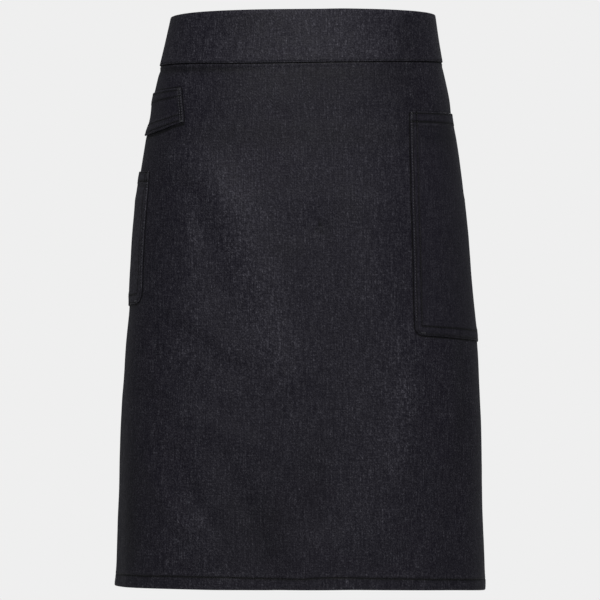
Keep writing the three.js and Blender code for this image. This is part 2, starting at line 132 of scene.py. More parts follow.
# The waistband: its rows of points up the inside and past the panel's ends, in millimetres
BAND_ROW = 1.4 * MM
BAND_RADIUS = 0.6 * MM
BAND_ZONE = 9 * MM
BAND_BELOW_TOP = 2.4 * MM
BAND_COLUMNS = 241
INNER_FACE = BAND_FACE - 2.6 * MM
FOLD_RADII = (1.3 * MM, 0.1 * MM)
BAND_RISES = np.array([0, 0.2, 0.5, 0.9, 1.4, 4, 8, 10.5, 11.5, 12.5, 13.5, 14.5, 17])
BAND_COVERS = np.array([7, 6.8, 6.5, 6, 5, 3])

# The pockets' and the loop's cloth
PATCH_CLOTH = 0.9 * MM
PATCH_GAP = 0.05 * MM
PATCH_RADIUS = 0.8 * MM
POCKET_STEP = 3.4 * MM
POCKET_SIDE_ZONE, MOUTH_ZONE = 12.5 * MM, 16 * MM
LOOP_END_ZONE, LOOP_EDGE_ZONE = 8 * MM, 12.5 * MM
TACK_WIDTH, TACK_PITCH, TACK_INSET = 1.9 * MM, 0.75 * MM, 1.8 * MM
POCKET_EASE = 0.3 * MM
POCKET_ROWS = (1.2 * MM, 8.2 * MM)
BOTTOM_SCALE = 0.8
MOUTH_TURN = 13.4 * MM
SIDE_TURN = 10.4 * MM
OUTLINE_STEPS = 500
LOOP_LENGTH, LOOP_HEIGHT = 0.176, 0.0414
LOOP_TOP = SEAM_HEIGHT - 0.0272
LOOP_AHEAD, LOOP_SLANT = 0.087, 7 * MM
LOOP_EASE = 1.0 * MM
LOOP_STEP, LOOP_ROW_STEP = 2.4 * MM, 2 * MM
LOOP_ROWS = (LOOP_EDGE_ROW, LOOP_ROW)
LOOP_END_ROWS = (1.4 * MM, 4.5 * MM)
LOOP_END_MIDDLE = sum(LOOP_END_ROWS) / 2

# The back tie, the crossed box of stitches at its ends in millimetres, and the turns of tape
# in its knot, outermost first: name, tilt, share of the knot's size, width, wall
TIE_WIDTH, TIE_THICKNESS = 0.028, 2 * MM
HALF_THICKNESS, TAIL_THICKNESS = TIE_THICKNESS * 0.8, TIE_THICKNESS * 0.75
TIE_LAP, TIE_PINCH, PINCH_LENGTH = 0.030, 0.65, 0.050
TIE_MIDDLE = BAND_TOP - 0.030
TIE_BOX = np.array([(3, -11), (3, 11), (27, 11), (27, -11), (3, -11), (27, 11), (27, -11), (3, 11)])
KNOT_WIDTH, KNOT_HEIGHT, KNOT_DEPTH = 0.036, 0.033, 0.017
KNOT_WRAPS = (
    ("tie_knot", 0.42, 1.0, 21 * MM, 2.2 * MM),
    ("tie_knot_under", -0.5, 0.86, 21 * MM, 2.2 * MM),
    ("tie_knot_core", 0.1, 0.60, 18 * MM, 5.0 * MM),
)
TAIL_LENGTH, TAIL_SPREAD = 0.232, 0.062

# How much of a tape's points gather at its selvedges
SELVEDGE = 0.35

# Yarns, the plies of the thread, and the blue that the dye keeps where the yarns are darkest
TWILL_PITCH = 1.15 * MM
TWILL_SLANT = 58
YARN_PITCH = 0.55 * MM
PLY_TURNS = (9000, 7000)
WEAVE_TONE, WEAVE_RELIEF, TWILL_SHARE = 0.16, 0.35, 0.65
RUB_MARKS, ROUGH_MARKS, MARK_REACH = 4, 5, 0.6
ROUGHNESS_SPREAD = 0.07
DEEPEST_SHADE = 0.06
SHEEN_TINT = (0.75, 0.76, 0.9, 1)
DARK_TINT = (0.0009, 0.0, 0.0041)

# Camera, floor and its colour
FOCAL_LENGTH, SENSOR_WIDTH = 315.5, 36
CAMERA_PLACE = (0.0003, -6.0, -0.2965)
FLOOR_HEIGHT, FLOOR_RADIUS, FLOOR_SIDES = -0.95, 3.5, 96
PALE = (0.863, 0.863, 0.863)


def table(names, rows):
    """A table with named columns, as one array for each name."""
    return dict(zip(names.split(), np.array(rows, float).T))


# The worn outline. Level runs from 0 at the top edge to 1 at the hip and 2 at the hem,
# and widen goes through the waist's, hip's and hem's sizes in the same way. Sway and
# lean are shares of the waist's width and depth. Square is how flat the front is.
OUTLINE = table("level widen sway lean square", [
    (0.00, 0.000, 0.0140, 0.000, 2.15),
    (0.25, 0.273, 0.0075, -0.005, 2.20),
    (0.46, 0.543, 0.0060, -0.003, 2.30),
    (0.57, 0.617, 0.0060, 0.000, 2.35),
    (0.68, 0.741, 0.0035, 0.004, 2.40),
    (0.89, 0.911, 0.0025, 0.009, 2.40),
    (1.00, 1.000, 0.0020, 0.010, 2.40),
    (1.10, 1.175, 0.0030, 0.007, 2.40),
    (1.26, 1.367, 0.0035, -0.002, 2.40),
    (1.37, 1.575, 0.0035, -0.009, 2.40),
    (1.47, 1.670, 0.0035, -0.014, 2.35),
    (1.62, 1.803, 0.0015, -0.022, 2.35),
    (1.83, 1.900, 0.0005, -0.031, 2.30),
    (1.94, 1.945, 0.0005, -0.036, 2.30),
    (2.00, 2.000, -0.0020, -0.038, 2.30),
])

# How far the long edges leave the level, from the left back edge to the right one: top
# and seam as shares of the band's height, and hem as a share of the skirt's length. Row
# is how many millimetres above the hem's edge its stitching runs.
EDGES = table("across top seam hem row", [
    (-1.00, -0.120, 0.010, -0.0035, 13.7),
    (-0.65, -0.078, 0.000, -0.0028, 13.3),
    (-0.40, -0.030, 0.003, -0.0009, 13.9),
    (-0.20, -0.012, -0.019, -0.0008, 14.3),
    (0.00, -0.005, -0.010, -0.0010, 12.4),
    (0.06, -0.002, -0.003, -0.0009, 13.9),
    (0.15, 0.008, 0.006, -0.0006, 13.2),
    (0.40, 0.000, 0.040, -0.0044, 12.0),
    (0.65, -0.030, 0.072, -0.0113, 13.0),
    (1.00, -0.060, 0.050, -0.0133, 13.0),
])

# Folds of the skirt: each bends from one place past a second to a third. A place is how
# far across and how far down it is. Then come the spread, a share of the waist's width,
# and the rise, a share of its depth, below zero for a hollow.
FOLDS = np.array([
    (-0.355, 0.171, -0.136, 0.235, -0.042, 0.588, 0.085, 0.024),
    (-0.324, 0.240, -0.240, 0.315, -0.215, 0.433, 0.050, -0.011),
    (0.04, 0.31, 0.09, 0.50, 0.06, 0.86, 0.075, -0.017),
    (0.18, 0.30, 0.24, 0.55, 0.22, 0.88, 0.110, 0.014),
    (-0.378, 0.451, -0.266, 0.499, -0.163, 0.550, 0.040, 0.008),
    (-0.339, 0.499, -0.250, 0.547, -0.170, 0.588, 0.040, -0.008),
    (-0.382, 0.612, -0.280, 0.690, -0.128, 0.725, 0.045, 0.011),
    (-0.414, 0.765, -0.370, 0.840, -0.280, 0.892, 0.042, 0.012),
    (-0.331, 0.746, -0.290, 0.817, -0.225, 0.878, 0.038, -0.010),
    (-0.186, 0.769, -0.125, 0.873, -0.052, 1.00, 0.055, -0.018),
    (-0.26, 0.80, -0.24, 0.90, -0.22, 1.00, 0.090, 0.013),
    (0.264, 0.518, 0.301, 0.631, 0.255, 0.773, 0.050, 0.010),
    (0.38, 0.68, 0.41, 0.85, 0.42, 1.00, 0.080, -0.014),
    (-0.58, 0.50, -0.57, 0.75, -0.56, 1.00, 0.090, -0.012),
    (-0.85, 0.35, -0.86, 0.70, -0.84, 1.00, 0.100, 0.030),
    (0.84, 0.40, 0.85, 0.70, 0.83, 1.00, 0.100, 0.027),
])

# Shallow creases that the solids leave out
CREASES = np.array([
    (0.042, 0.322, 0.05, 0.308, 0.062, 0.310, 0.011, -0.0035),
    (-0.03, 0.335, -0.01, 0.325, 0.01, 0.32, 0.03, -0.0040),
    (-0.315, 0.26, -0.30, 0.34, -0.31, 0.45, 0.025, 0.0060),
    (0.465, 0.546, 0.475, 0.698, 0.43, 0.868, 0.050, -0.0080),
    (-0.06, 0.86, -0.05, 0.95, -0.04, 1.05, 0.200, -0.0200),
    (0.10, 0.10, 0.14, 0.20, 0.24, 0.30, 0.045, 0.0040),
    (0.30, 0.52, 0.32, 0.66, 0.30, 0.80, 0.045, -0.0030),
])

# Broad areas of painted light and painted shade over the folds and down the skirt, on the skirt, the band and
# the pockets, with a painted dark spot at the small pucker. Wide and tall are millimetres, slant turns an
# area anticlockwise, and tone is above zero for painted light and below zero for painted shade.
PAINTED_FOLD_TONES = table("across down wide tall slant tone", [
    (-0.283, 0.433, 16, 150, 0, 0.19),
    (-0.155, 0.420, 24, 60, 12, 0.32),
    (-0.060, 0.565, 24, 70, 8, 0.20),
    (-0.080, 0.281, 16, 18, 0, 0.18),
    (-0.351, 0.570, 16, 18, 0, 0.22),
    (-0.287, 0.929, 18, 18, 0, 0.20),
    (-0.418, 0.010, 26, 26, 0, 0.14),
    (-0.580, 0.150, 12, 30, 0, 0.28),
    (-0.602, 0.425, 10, 26, 0, 0.30),
    (0.133, 0.281, 14, 16, 0, -0.20),
    (-0.039, 0.354, 22, 14, 0, -0.18),
    (-0.060, 0.900, 28, 40, 0, -0.16),
    (-0.135, 0.572, 42, 22, 0, 0.17),
    (-0.318, 0.570, 22, 20, 0, 0.20),
    (-0.305, 0.785, 14, 24, 0, 0.15),
    (-0.148, 0.285, 45, 16, -25, 0.20),
    (-0.236, 0.357, 28, 18, 0, 0.12),
    (-0.315, 0.898, 24, 34, 0, 0.30),
    (-0.356, 0.024, 20, 34, 0, 0.15),
    (0.274, 0.631, 22, 65, 0, 0.38),
    (0.165, 0.792, 40, 60, 0, 0.14),
    (0.000, 0.138, 210, 15, 0, -0.27),
    (0.000, 0.066, 160, 22, 0, -0.16),
    (-0.200, 0.285, 70, 20, 0, 0.12),
    (0.040, 0.774, 22, 50, 0, -0.20),
    (-0.132, 0.868, 45, 50, 0, -0.18),
    (0.370, -0.025, 30, 70, 0, -0.24),
    (-0.189, -0.091, 42, 22, 0, -0.26),
    (-0.491, 0.873, 17, 80, 0, -0.34),
    (0.461, 0.642, 16, 90, 0, -0.16),
    (0.500, 0.137, 22, 18, 0, -0.30),
    (0.089, 0.020, 90, 13, 0, -0.34),
    (0.068, 0.320, 9, 11, 0, -0.16),
    (0.0525, 0.308, 1.6, 2.9, 0, -0.80),
    (0.042, 0.318, 1.6, 2.4, 0, -0.70),
    (0.057, 0.322, 3.0, 1.8, 0, -0.35),
])

# The towel loop's shape along its length, as shares of its height, and how far it stands off
LOOP_SHAPE = table("along top height away", [
    (0.00, 0.00, 0.96, 0.00),
    (0.07, -0.02, 1.00, 0.00),
    (0.20, -0.05, 1.10, 0.45),
    (0.50, -0.10, 1.18, 1.00),
    (0.80, -0.05, 1.10, 0.45),
    (0.93, -0.02, 1.00, 0.00),
    (1.00, 0.00, 0.96, 0.00),
])

# Uneven yarns and finish: the size of each kind of mark across and down the cloth, how
# it leans, and how far it changes the tone and the relief
MARKS = table("across down slant detail tone relief", [
    (1.4 * MM, 24 * MM, 0, 2, 0.52, 0.30),
    (18 * MM, 1.3 * MM, 0, 2, 0.21, 0.25),
    (1.2 * MM, 5 * MM, 90 - TWILL_SLANT, 1, 0.39, 0.25),
    (1.9 * MM, 1.9 * MM, 0, 2, 0.92, 0.50),
    (4.4 * MM, 4.4 * MM, 0, 2, 0.30, 0.10),
    (10 * MM, 12 * MM, 0, 2, 0.27, 0.00),
    (42 * MM, 55 * MM, 0, 2, 0.13, 0.00),
])

# The hills of a slightly crumpled cloth: size across, height, seed
CRUMPLES = [(0.085, 0.9 * MM, 11), (0.034, 0.28 * MM, 12), (0.014, 0.07 * MM, 13)]


def read_table(rows, place, column, at):
    """One column of a table between its rows, along a smooth curve."""
    x, y = rows[place], rows[column]
    last = len(x) - 1
    low, high = np.maximum(np.arange(last + 1) - 1, 0), np.minimum(np.arange(last + 1) + 1, last)
    slope = (y[high] - y[low]) / (x[high] - x[low])
    at = np.clip(at, x[0], x[last])
    i = np.clip(np.searchsorted(x, at, side="right") - 1, 0, last - 1)
    span = x[i + 1] - x[i]
    t = (at - x[i]) / span
    blend = y[i] + (y[i + 1] - y[i]) * t * t * (3 - 2 * t)
    return blend + t * (1 - t) ** 2 * span * slope[i] + t * t * (t - 1) * span * slope[i + 1]


def smooth(value, low, high):
    """0 below low, 1 above high, and a soft step between them."""
    t = np.clip((np.asarray(value, float) - low) / (high - low), 0, 1)
    return t * t * (3 - 2 * t)


def bump(distance, centre, width):
    return np.exp(-(((distance - centre) / width) ** 2))


def rounding(distance, radius):
    """How far a face falls back near an edge that is rounded to a radius."""
    left = np.clip(radius - distance, 0, radius)
    return radius - np.sqrt(radius**2 - left**2)


def hills(u, v, size, seed):
    """Soft random hills about as wide as size, between about -1 and 1."""
    lattice = np.random.default_rng(seed).uniform(-1, 1, (LATTICE, LATTICE))
    u, v = np.broadcast_arrays(np.asarray(u, float) / size, np.asarray(v, float) / size)
    i, j = np.floor(u).astype(int), np.floor(v).astype(int)
    fu, fv = smooth(u - i, 0, 1), smooth(v - j, 0, 1)
    near, far = i % LATTICE, (i + 1) % LATTICE
    low, high = (lattice[near, k % LATTICE] * (1 - fu) + lattice[far, k % LATTICE] * fu for k in (j, j + 1))
    return low * (1 - fv) + high * fv


def graded(widen, at_waist, at_hip, at_hem):
    to_hip, to_hem = np.minimum(widen, 1), np.maximum(widen - 1, 0)
    return at_waist + (at_hip - at_waist) * to_hip + (at_hem - at_hip) * to_hem


def unit(vectors):
    return vectors / np.linalg.norm(vectors, axis=-1, keepdims=True)


def normals_of(points):
    """Outward unit normals of a grid of points with rows upwards and columns towards +X."""
    return unit(np.cross(np.gradient(points, axis=1), np.gradient(points, axis=0)))


class Cloth:
    """The outside of the panel on a fine grid of heights and arcs."""

    def __init__(self):
        self.heights = np.arange(HEM_HEIGHT - GRID_MARGIN, BAND_TOP + GRID_MARGIN, GRID)
        above = (BAND_TOP - self.heights) / HIP_DROP
        below = 1 + (HIP_HEIGHT - self.heights) / (HIP_HEIGHT - HEM_HEIGHT)
        level = np.where(self.heights > HIP_HEIGHT, above, below)
        columns = [read_table(OUTLINE, "level", name, level) for name in ("widen", "sway", "lean", "square")]
        widen, sway, lean, square = (column[:, None] for column in columns)
        half_width = graded(widen, WAIST_WIDTH, HIP_WIDTH, HEM_WIDTH) / 2
        half_depth = graded(widen, WAIST_DEPTH, HIP_DEPTH, HEM_DEPTH) / 2

        def section(turns):
            x, y = (np.sign(wave) * np.abs(wave) ** (2 / square) for wave in (np.sin(turns), np.cos(turns)))
            return half_width * x, -half_depth * y

        turns = np.arange(int(SECTION_STEPS * PAST_BACK) + 1) * math.pi / SECTION_STEPS
        x, y = section(turns[None, :])
        steps = np.hypot(np.diff(x, axis=1), np.diff(y, axis=1))
        lengths = np.pad(np.cumsum(steps, axis=1), ((0, 0), (1, 0)))
        self.girths = lengths[:, SECTION_STEPS]
        reach = self.girths.max() + GRID_MARGIN
        self.arcs = np.arange(-reach, reach, GRID)
        turn = np.array([np.interp(np.abs(self.arcs), row, turns) for row in lengths])
        x, y = section(turn * np.sign(self.arcs))
        z = np.broadcast_to(self.heights[:, None], x.shape)
        plain = np.stack([x + sway * WAIST_WIDTH, y + lean * WAIST_DEPTH, z], -1)
        self.rise = self.fold_rise()
        self.points = plain + normals_of(plain) * self.rise[..., None]
        self.normals = normals_of(self.points)

    def fold_rise(self):
        """How far folds, creases and crumples lift each point of the grid."""
        half = half_span(self.heights, self)[:, None]
        arcs, heights = self.arcs[None, :], self.heights[:, None]
        rise = np.zeros((len(self.heights), len(self.arcs)))
        t = np.linspace(0, 1, FOLD_STEPS + 1)
        for a0, d0, a1, d1, a2, d2, spread, lift in np.concatenate([FOLDS, CREASES]):
            across = (1 - t) ** 2 * a0 + 2 * t * (1 - t) * a1 + t * t * a2
            down = (1 - t) ** 2 * d0 + 2 * t * (1 - t) * d1 + t * t * d2
            nearest = np.full(rise.shape, np.inf)
            for a, d in zip(across, down):
                away = np.hypot(a * half - arcs, SEAM_HEIGHT - d * SKIRT_LENGTH - heights)
                nearest = np.minimum(nearest, away)
            rise += lift * WAIST_DEPTH * bump(nearest, 0, spread * WAIST_WIDTH)
        for size, height, seed in CRUMPLES:
            rise += height * hills(arcs, heights, size, seed)
        return rise * smooth(SEAM_HEIGHT - heights, 0, FOLD_FREE_HEIGHT)

    def mix(self, field, arc, height):
        """A field of the grid at any places."""
        u = np.clip((arc - self.arcs[0]) / GRID, 0, len(self.arcs) - 1.001)
        v = np.clip((height - self.heights[0]) / GRID, 0, len(self.heights) - 1.001)
        i, j = u.astype(int), v.astype(int)
        fu, fv = (u - i)[..., None], (v - j)[..., None]
        low, high = (field[k, i] * (1 - fu) + field[k, i + 1] * fu for k in (j, j + 1))
        return low * (1 - fv) + high * fv


def half_girth(height, cloth=None):
    source = cloth or CLOTH_SURFACE
    return np.interp(height, source.heights, source.girths)


def half_span(height, cloth=None):
    """Half the width of the cloth, measured round the body at a height."""
    down = (BAND_TOP - height) / (BAND_TOP - HEM_HEIGHT)
    gap = BACK_GAP_AT_WAIST + (BACK_GAP_AT_HEM - BACK_GAP_AT_WAIST) * down
    return half_girth(height, cloth) - gap / 2


CLOTH_SURFACE = Cloth()


def face_at(arc, height, out):
    """Points a distance out from the surface, and the normals there."""
    arc, height, out = np.broadcast_arrays(*(np.asarray(a, float) for a in (arc, height, out)))
    normals = unit(CLOTH_SURFACE.mix(CLOTH_SURFACE.normals, arc, height))
    return CLOTH_SURFACE.mix(CLOTH_SURFACE.points, arc, height) + out[..., None] * normals, normals


def edge_at(column, across):
    return read_table(EDGES, "across", column, across)


def top_at(across):
    return BAND_TOP + edge_at("top", across) * BAND_HEIGHT


def seam_at(across):
    return SEAM_HEIGHT + edge_at("seam", across) * BAND_HEIGHT


def hem_at(across):
    return HEM_HEIGHT + edge_at("hem", across) * SKIRT_LENGTH


def spaced(start, stop, step):
    """Even places between two ends, ends left out, about a step apart."""
    count = max(int(round(abs(stop - start) / step)), 2)
    return np.linspace(start, stop, count + 1)[1:-1]


def close_to(edge, rows, zone):
    """Distances from an edge, close together at the edge and round each row of stitches."""
    near = [*EDGE_STEPS, zone / MM, *(row / MM + d for row in rows for d in ROW_STEPS)]
    near = sorted(set(round(n, 2) for n in near if 0 <= n <= zone / MM))
    kept = [near[0]]
    for n in near[1:]:
        if n - kept[-1] > 0.12:
            kept.append(n)
    gaps = []
    for a, b in zip(kept, kept[1:]):
        gaps += [a] + list(spaced(a, b, edge / MM) if b - a > 1.6 * edge / MM else [])
    return np.array(gaps + [zone / MM]) * MM


def within(place, length):
    """The distance to the nearer end of a length."""
    return np.minimum(place, length - place)


# Meshes

def make_mesh(name, points, faces, uv, **fields):
    """A mesh object with a flat layout of the cloth in metres, and fields such as its wear with painted
    highlights.
    """
    mesh = bpy.data.meshes.new(name)
    faces = np.asarray(faces, np.int32)
    count, sides = faces.shape
    mesh.vertices.add(len(points))
    mesh.vertices.foreach_set("co", np.asarray(points, np.float32).ravel())
    mesh.loops.add(count * sides)
    mesh.loops.foreach_set("vertex_index", faces.ravel())
    mesh.polygons.add(count)
    mesh.polygons.foreach_set("loop_start", np.arange(count, dtype=np.int32) * sides)
    layout = mesh.uv_layers.new(name="cloth")
    layout.data.foreach_set("uv", np.asarray(uv, np.float32)[faces.ravel()].ravel())
    for field, values in fields.items():
        made = mesh.attributes.new(field, "FLOAT", "POINT")
        made.data.foreach_set("value", np.clip(values, 0, 1).astype(np.float32).ravel())
    mesh.update(calc_edges=True)
    mesh.validate()
    mesh.polygons.foreach_set("use_smooth", np.ones(len(mesh.polygons), bool))
    return placed(bpy.data.objects.new(name, mesh))


def placed(obj):
    bpy.context.scene.collection.objects.link(obj)
    return obj


def sheet_mesh(name, outer, inner, uv, **fields):
    """A closed sheet between two grids of points: rows downwards, columns towards +X."""
    tall, wide = outer.shape[:2]
    index = np.arange(tall * wide).reshape(tall, wide)
    a, b, c, d = index[:-1, :-1], index[1:, :-1], index[1:, 1:], index[:-1, 1:]
    front = np.stack([a, b, c, d], -1).reshape(-1, 4)
    back = np.stack([a, d, c, b], -1).reshape(-1, 4) + tall * wide
    rim = np.concatenate([index[:-1, 0], index[-1, :-1], index[:0:-1, -1], index[0, :0:-1]])
    ahead = np.roll(rim, -1)
    walls = np.stack([ahead, rim, rim + tall * wide, ahead + tall * wide], -1)
    points = np.concatenate([outer.reshape(-1, 3), inner.reshape(-1, 3)])
    layout = np.concatenate([uv.reshape(-1, 2)] * 2)
    for key, field in fields.items():
        fields[key] = np.tile(np.broadcast_to(field, (tall, wide)).ravel(), 2)
    return make_mesh(name, points, np.concatenate([front, back, walls]), layout, **fields)


def dress(obj, material, stands_for=None):
    obj.data.materials.append(material)
    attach(obj, "root")
    if stands_for:
        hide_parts(stands_for)
    return obj


# Stitches: each is a short thread that rises out of the cloth and dips back into it

def one_stitch(length, radius, lift):
    """Points of a stitch along its own axes, and its quads."""
    along = np.linspace(-0.5, 0.5, STITCH_RINGS)
    thick = radius * np.sqrt(np.clip(1 - (2 * along) ** 2 * STITCH_TAPER, 0, 1))
    height = lift * (1 - (2 * along) ** 2) - radius * STITCH_SINK
    turn = np.arange(STITCH_SIDES) * 2 * math.pi / STITCH_SIDES
    points = np.stack([
        np.repeat(along * length, STITCH_SIDES),
        (thick[:, None] * np.cos(turn)).ravel(),
        (height[:, None] + thick[:, None] * np.sin(turn)).ravel(),
    ], -1)
    faces = []
    for ring in range(STITCH_RINGS - 1):
        for k in range(STITCH_SIDES):
            a, b = ring * STITCH_SIDES + k, ring * STITCH_SIDES + (k + 1) % STITCH_SIDES
            faces.append((a, b, b + STITCH_SIDES, a + STITCH_SIDES))
    for ring in (0, STITCH_RINGS - 1):
        ids = [ring * STITCH_SIDES + k for k in range(STITCH_SIDES)]
        ids = ids if ring else ids[::-1]
        faces += [(ids[0], ids[1], ids[2], ids[3]), (ids[0], ids[3], ids[4], ids[5])]
    return points, np.array(faces)


def gone_along(points):
    """How far along a path each of its points is."""
    return np.concatenate([[0], np.cumsum(np.linalg.norm(np.diff(points, axis=0), axis=1))])


def frames_along(points, normals, pitch):
    """Centres and axes at even steps along a path that lies on the cloth."""
    gone = gone_along(points)
    at = np.arange(pitch / 2, gone[-1] - pitch / 4, pitch)

    def pick(field, place):
        return np.stack([np.interp(place, gone, axis) for axis in field.T], -1)

    along = unit(pick(points, at + pitch / 3) - pick(points, at - pitch / 3))
    normal = pick(normals, at)
    normal = unit(normal - along * (normal * along).sum(1, keepdims=True))
    return pick(points, at), along, np.cross(normal, along), normal


def stitches(name, rows, material, seed):
    """Rows of stitches as one object. A row has points, normals, and may have its own size."""
    rng = np.random.default_rng(seed)
    all_points, all_faces, all_uv = [], [], []
    for row in rows:
        row = PLAIN_ROW | row
        pitch, radius = row["pitch"], row["radius"]
        shape, faces = one_stitch(pitch * row["length"], radius, radius * STITCH_RISE)
        centre, along, side, up = frames_along(row["points"], row["normals"], pitch)
        count = len(centre)
        turn = rng.normal(row["lean"], TURN_SPREAD, count)[:, None]
        along, side = along * np.cos(turn) + side * np.sin(turn), side * np.cos(turn) - along * np.sin(turn)
        centre = centre + side * rng.normal(0, SIDE_SPREAD, count)[:, None]
        centre = centre + up * rng.normal(0, row["sink"], count)[:, None]
        axes = zip((along, side, up), shape.T)
        points = centre[:, None] + sum(axis[:, None] * part[None, :, None] for axis, part in axes)
        start = sum(len(p) for p in all_points)
        offset = start + np.arange(count)[:, None, None] * len(shape)
        all_points.append(points.reshape(-1, 3))
        all_faces.append((faces[None] + offset).reshape(-1, 4))
        place = np.arange(count)[:, None] * pitch + shape[None, :, 0]
        all_uv.append(np.stack([place, np.broadcast_to(shape[None, :, 1], place.shape)], -1).reshape(-1, 2))
    obj = make_mesh(name, *(np.concatenate(part) for part in (all_points, all_faces, all_uv)))
    return dress(obj, material)


def row_on(face, x, y, **sizes):
    """A row of stitches through places on a face, which gives points and normals."""
    points, normals = face(*np.broadcast_arrays(x, y))
    return {"points": points, "normals": normals, **sizes}


# Materials

def node(tree, kind, inputs=(), **settings):
    """A node with its own settings. An input is linked to a socket or set to a value."""
    made = tree.nodes.new("ShaderNode" + kind)
    for key, value in settings.items():
        setattr(made, key, value)
    for slot, value in dict(inputs).items():
        if isinstance(value, bpy.types.NodeSocket):
            tree.links.new(value, made.inputs[slot])
        else:
            made.inputs[slot].default_value = value
    return made


def maths(tree, operation, *values):
    """The result of one sum on sockets or numbers."""
    return node(tree, "Math", enumerate(values), operation=operation).outputs[0]


def field_of(tree, name):
    return node(tree, "Attribute", attribute_name=name).outputs["Fac"]


def scaled(tree, colour, size):
    return node(tree, "VectorMath", {0: colour, "Scale": size}, operation="SCALE").outputs[0]


def ranged(tree, value, low, high, to_low, to_high):
    ends = {"From Min": low, "From Max": high, "To Min": to_low, "To Max": to_high}
    return node(tree, "MapRange", {0: value, **ends}).outputs[0]


def weighted_sum(tree, parts, start=0.0):
    """The sum of weighted values, from a starting number."""
    total = start
    for value, weight in parts:
        if weight:
            total = maths(tree, "ADD", maths(tree, "MULTIPLY", value, float(weight)), total)
    return total


def marks(tree, layout, row):
    """One kind of mark, from about -1 to 1."""
    kind = {name: float(column[row]) for name, column in MARKS.items()}
    place = node(tree, "Mapping", {
        0: layout,
        "Location": (row * 0.37, row * 0.61, 0),
        "Rotation": (0, 0, math.radians(kind["slant"])),
        "Scale": (kind["across"], kind["down"], 1),
    }, vector_type="TEXTURE").outputs[0]
    made = node(tree, "TexNoise", {0: place, "Scale": 1, "Detail": kind["detail"]}, noise_dimensions="2D")
    return ranged(tree, made.outputs[0], 0.25, 0.75, -1, 1)


def weave_of(tree, layout, twill):
    """The yarns' own pattern: a fine twill, or a plain weave for tape."""
    u, v = node(tree, "SeparateXYZ", {0: layout}).outputs[:2]
    yarns = [maths(tree, "SINE", maths(tree, "MULTIPLY", line, 2 * math.pi / YARN_PITCH)) for line in (u, v)]
    plain = maths(tree, "MULTIPLY", *yarns)
    if not twill:
        return plain
    slant = math.radians(TWILL_SLANT)
    turn = 2 * math.pi / TWILL_PITCH
    phase = weighted_sum(tree, [(u, turn * math.cos(slant)), (v, turn * math.sin(slant))])
    return weighted_sum(tree, [(maths(tree, "SINE", phase), TWILL_SHARE), (plain, 1 - TWILL_SHARE)])


def painted_shadow_beside(tree):
    """The painted shadow line round a patch, from how far outside the patch a place is."""
    edge = field_of(tree, "beside")
    start = -(BESIDE_REACH + BESIDE_CENTRE) / BESIDE_WIDTH
    past = weighted_sum(tree, [(edge, 2 * BESIDE_REACH / BESIDE_WIDTH)], start)
    falling = maths(tree, "MULTIPLY", maths(tree, "MULTIPLY", past, past), -1)
    return maths(tree, "POWER", math.e, falling)


def new_tree(name):
    """A new material's empty tree, and the flat layout of the cloth in it."""
    material = bpy.data.materials.new(name)
    material.use_nodes = True
    material.node_tree.nodes.clear()
    return material, material.node_tree, node(material.node_tree, "UVMap", uv_map="cloth").outputs[0]


def finish_material(tree, relief, depth, sockets):
    """The shader of a material with a fine relief, and its output."""
    lifted = node(tree, "Bump", {"Distance": depth, "Height": relief}).outputs[0]
    shader = node(tree, "BsdfPrincipled", {"Normal": lifted, **sockets})
    node(tree, "OutputMaterial", {0: shader.outputs[0]})


def woven(name, base, worn_and_lit, twill=True, grain=1.0, depth=0.15 * MM, roughness=0.6):
    """A woven cloth with uneven yarns, its wear and painted highlights, and painted shade in its creases and
    beside its patches.
    """
    material, tree, layout = new_tree(name)
    weave = weave_of(tree, layout, twill)
    kinds = [marks(tree, layout, row) for row in range(len(MARKS["tone"]))]
    tone = weighted_sum(tree, [(weave, WEAVE_TONE), *zip(kinds, grain * MARKS["tone"])])
    relief = weighted_sum(tree, [(weave, WEAVE_RELIEF), *zip(kinds, MARKS["relief"])])
    wear, shade = (field_of(tree, name) for name in ("wear", "shade"))
    # The wear field, with its painted highlights, lightens the dye towards the worn and lit colour
    painted_light_and_wear = maths(tree, "MULTIPLY", wear, ranged(tree, kinds[RUB_MARKS], -MARK_REACH, MARK_REACH, 0.3, 1.0))
    dyed = node(tree, "Mix", {"Factor": painted_light_and_wear, "A": (*base, 1), "B": (*worn_and_lit, 1)}, data_type="RGBA")
    uneven = scaled(tree, dyed.outputs["Result"], maths(tree, "POWER", math.e, tone))
    tinted = node(tree, "VectorMath", {0: uneven, 1: DARK_TINT}, operation="ADD").outputs[0]
    # Painted shade: the shade field and the painted shadow beside the patches darken the colour together
    shade = maths(tree, "MAXIMUM", shade, painted_shadow_beside(tree))
    rough = (roughness - ROUGHNESS_SPREAD, roughness + ROUGHNESS_SPREAD)
    finish_material(tree, relief, depth, {
        "Base Color": scaled(tree, tinted, ranged(tree, shade, 0, 1, 1, DEEPEST_SHADE)),
        "Roughness": ranged(tree, kinds[ROUGH_MARKS], -MARK_REACH, MARK_REACH, *rough),
        "Specular IOR Level": 0.16,
        "Sheen Weight": 0.02,
        "Sheen Roughness": 0.45,
        "Sheen Tint": SHEEN_TINT,
    })
    return material


def thread(name, base):
    """Twisted sewing thread, with slanting ply marks and uneven dye."""
    material, tree, layout = new_tree(name)
    u, v = node(tree, "SeparateXYZ", {0: layout}).outputs[:2]
    ply = maths(tree, "SINE", weighted_sum(tree, [(u, PLY_TURNS[0]), (v, PLY_TURNS[1])]))
    dye = node(tree, "TexNoise", {0: layout, "Scale": 300}).outputs[0]
    tone = maths(tree, "ADD", ranged(tree, ply, -1, 1, 0.8, 1.15), ranged(tree, dye, 0.3, 0.7, -0.25, 0.25))
    colour = scaled(tree, base, tone)
    finish_material(tree, ply, 0.05 * MM, {"Base Color": colour, "Roughness": 0.5, "Specular IOR Level": 0.3})
    return material


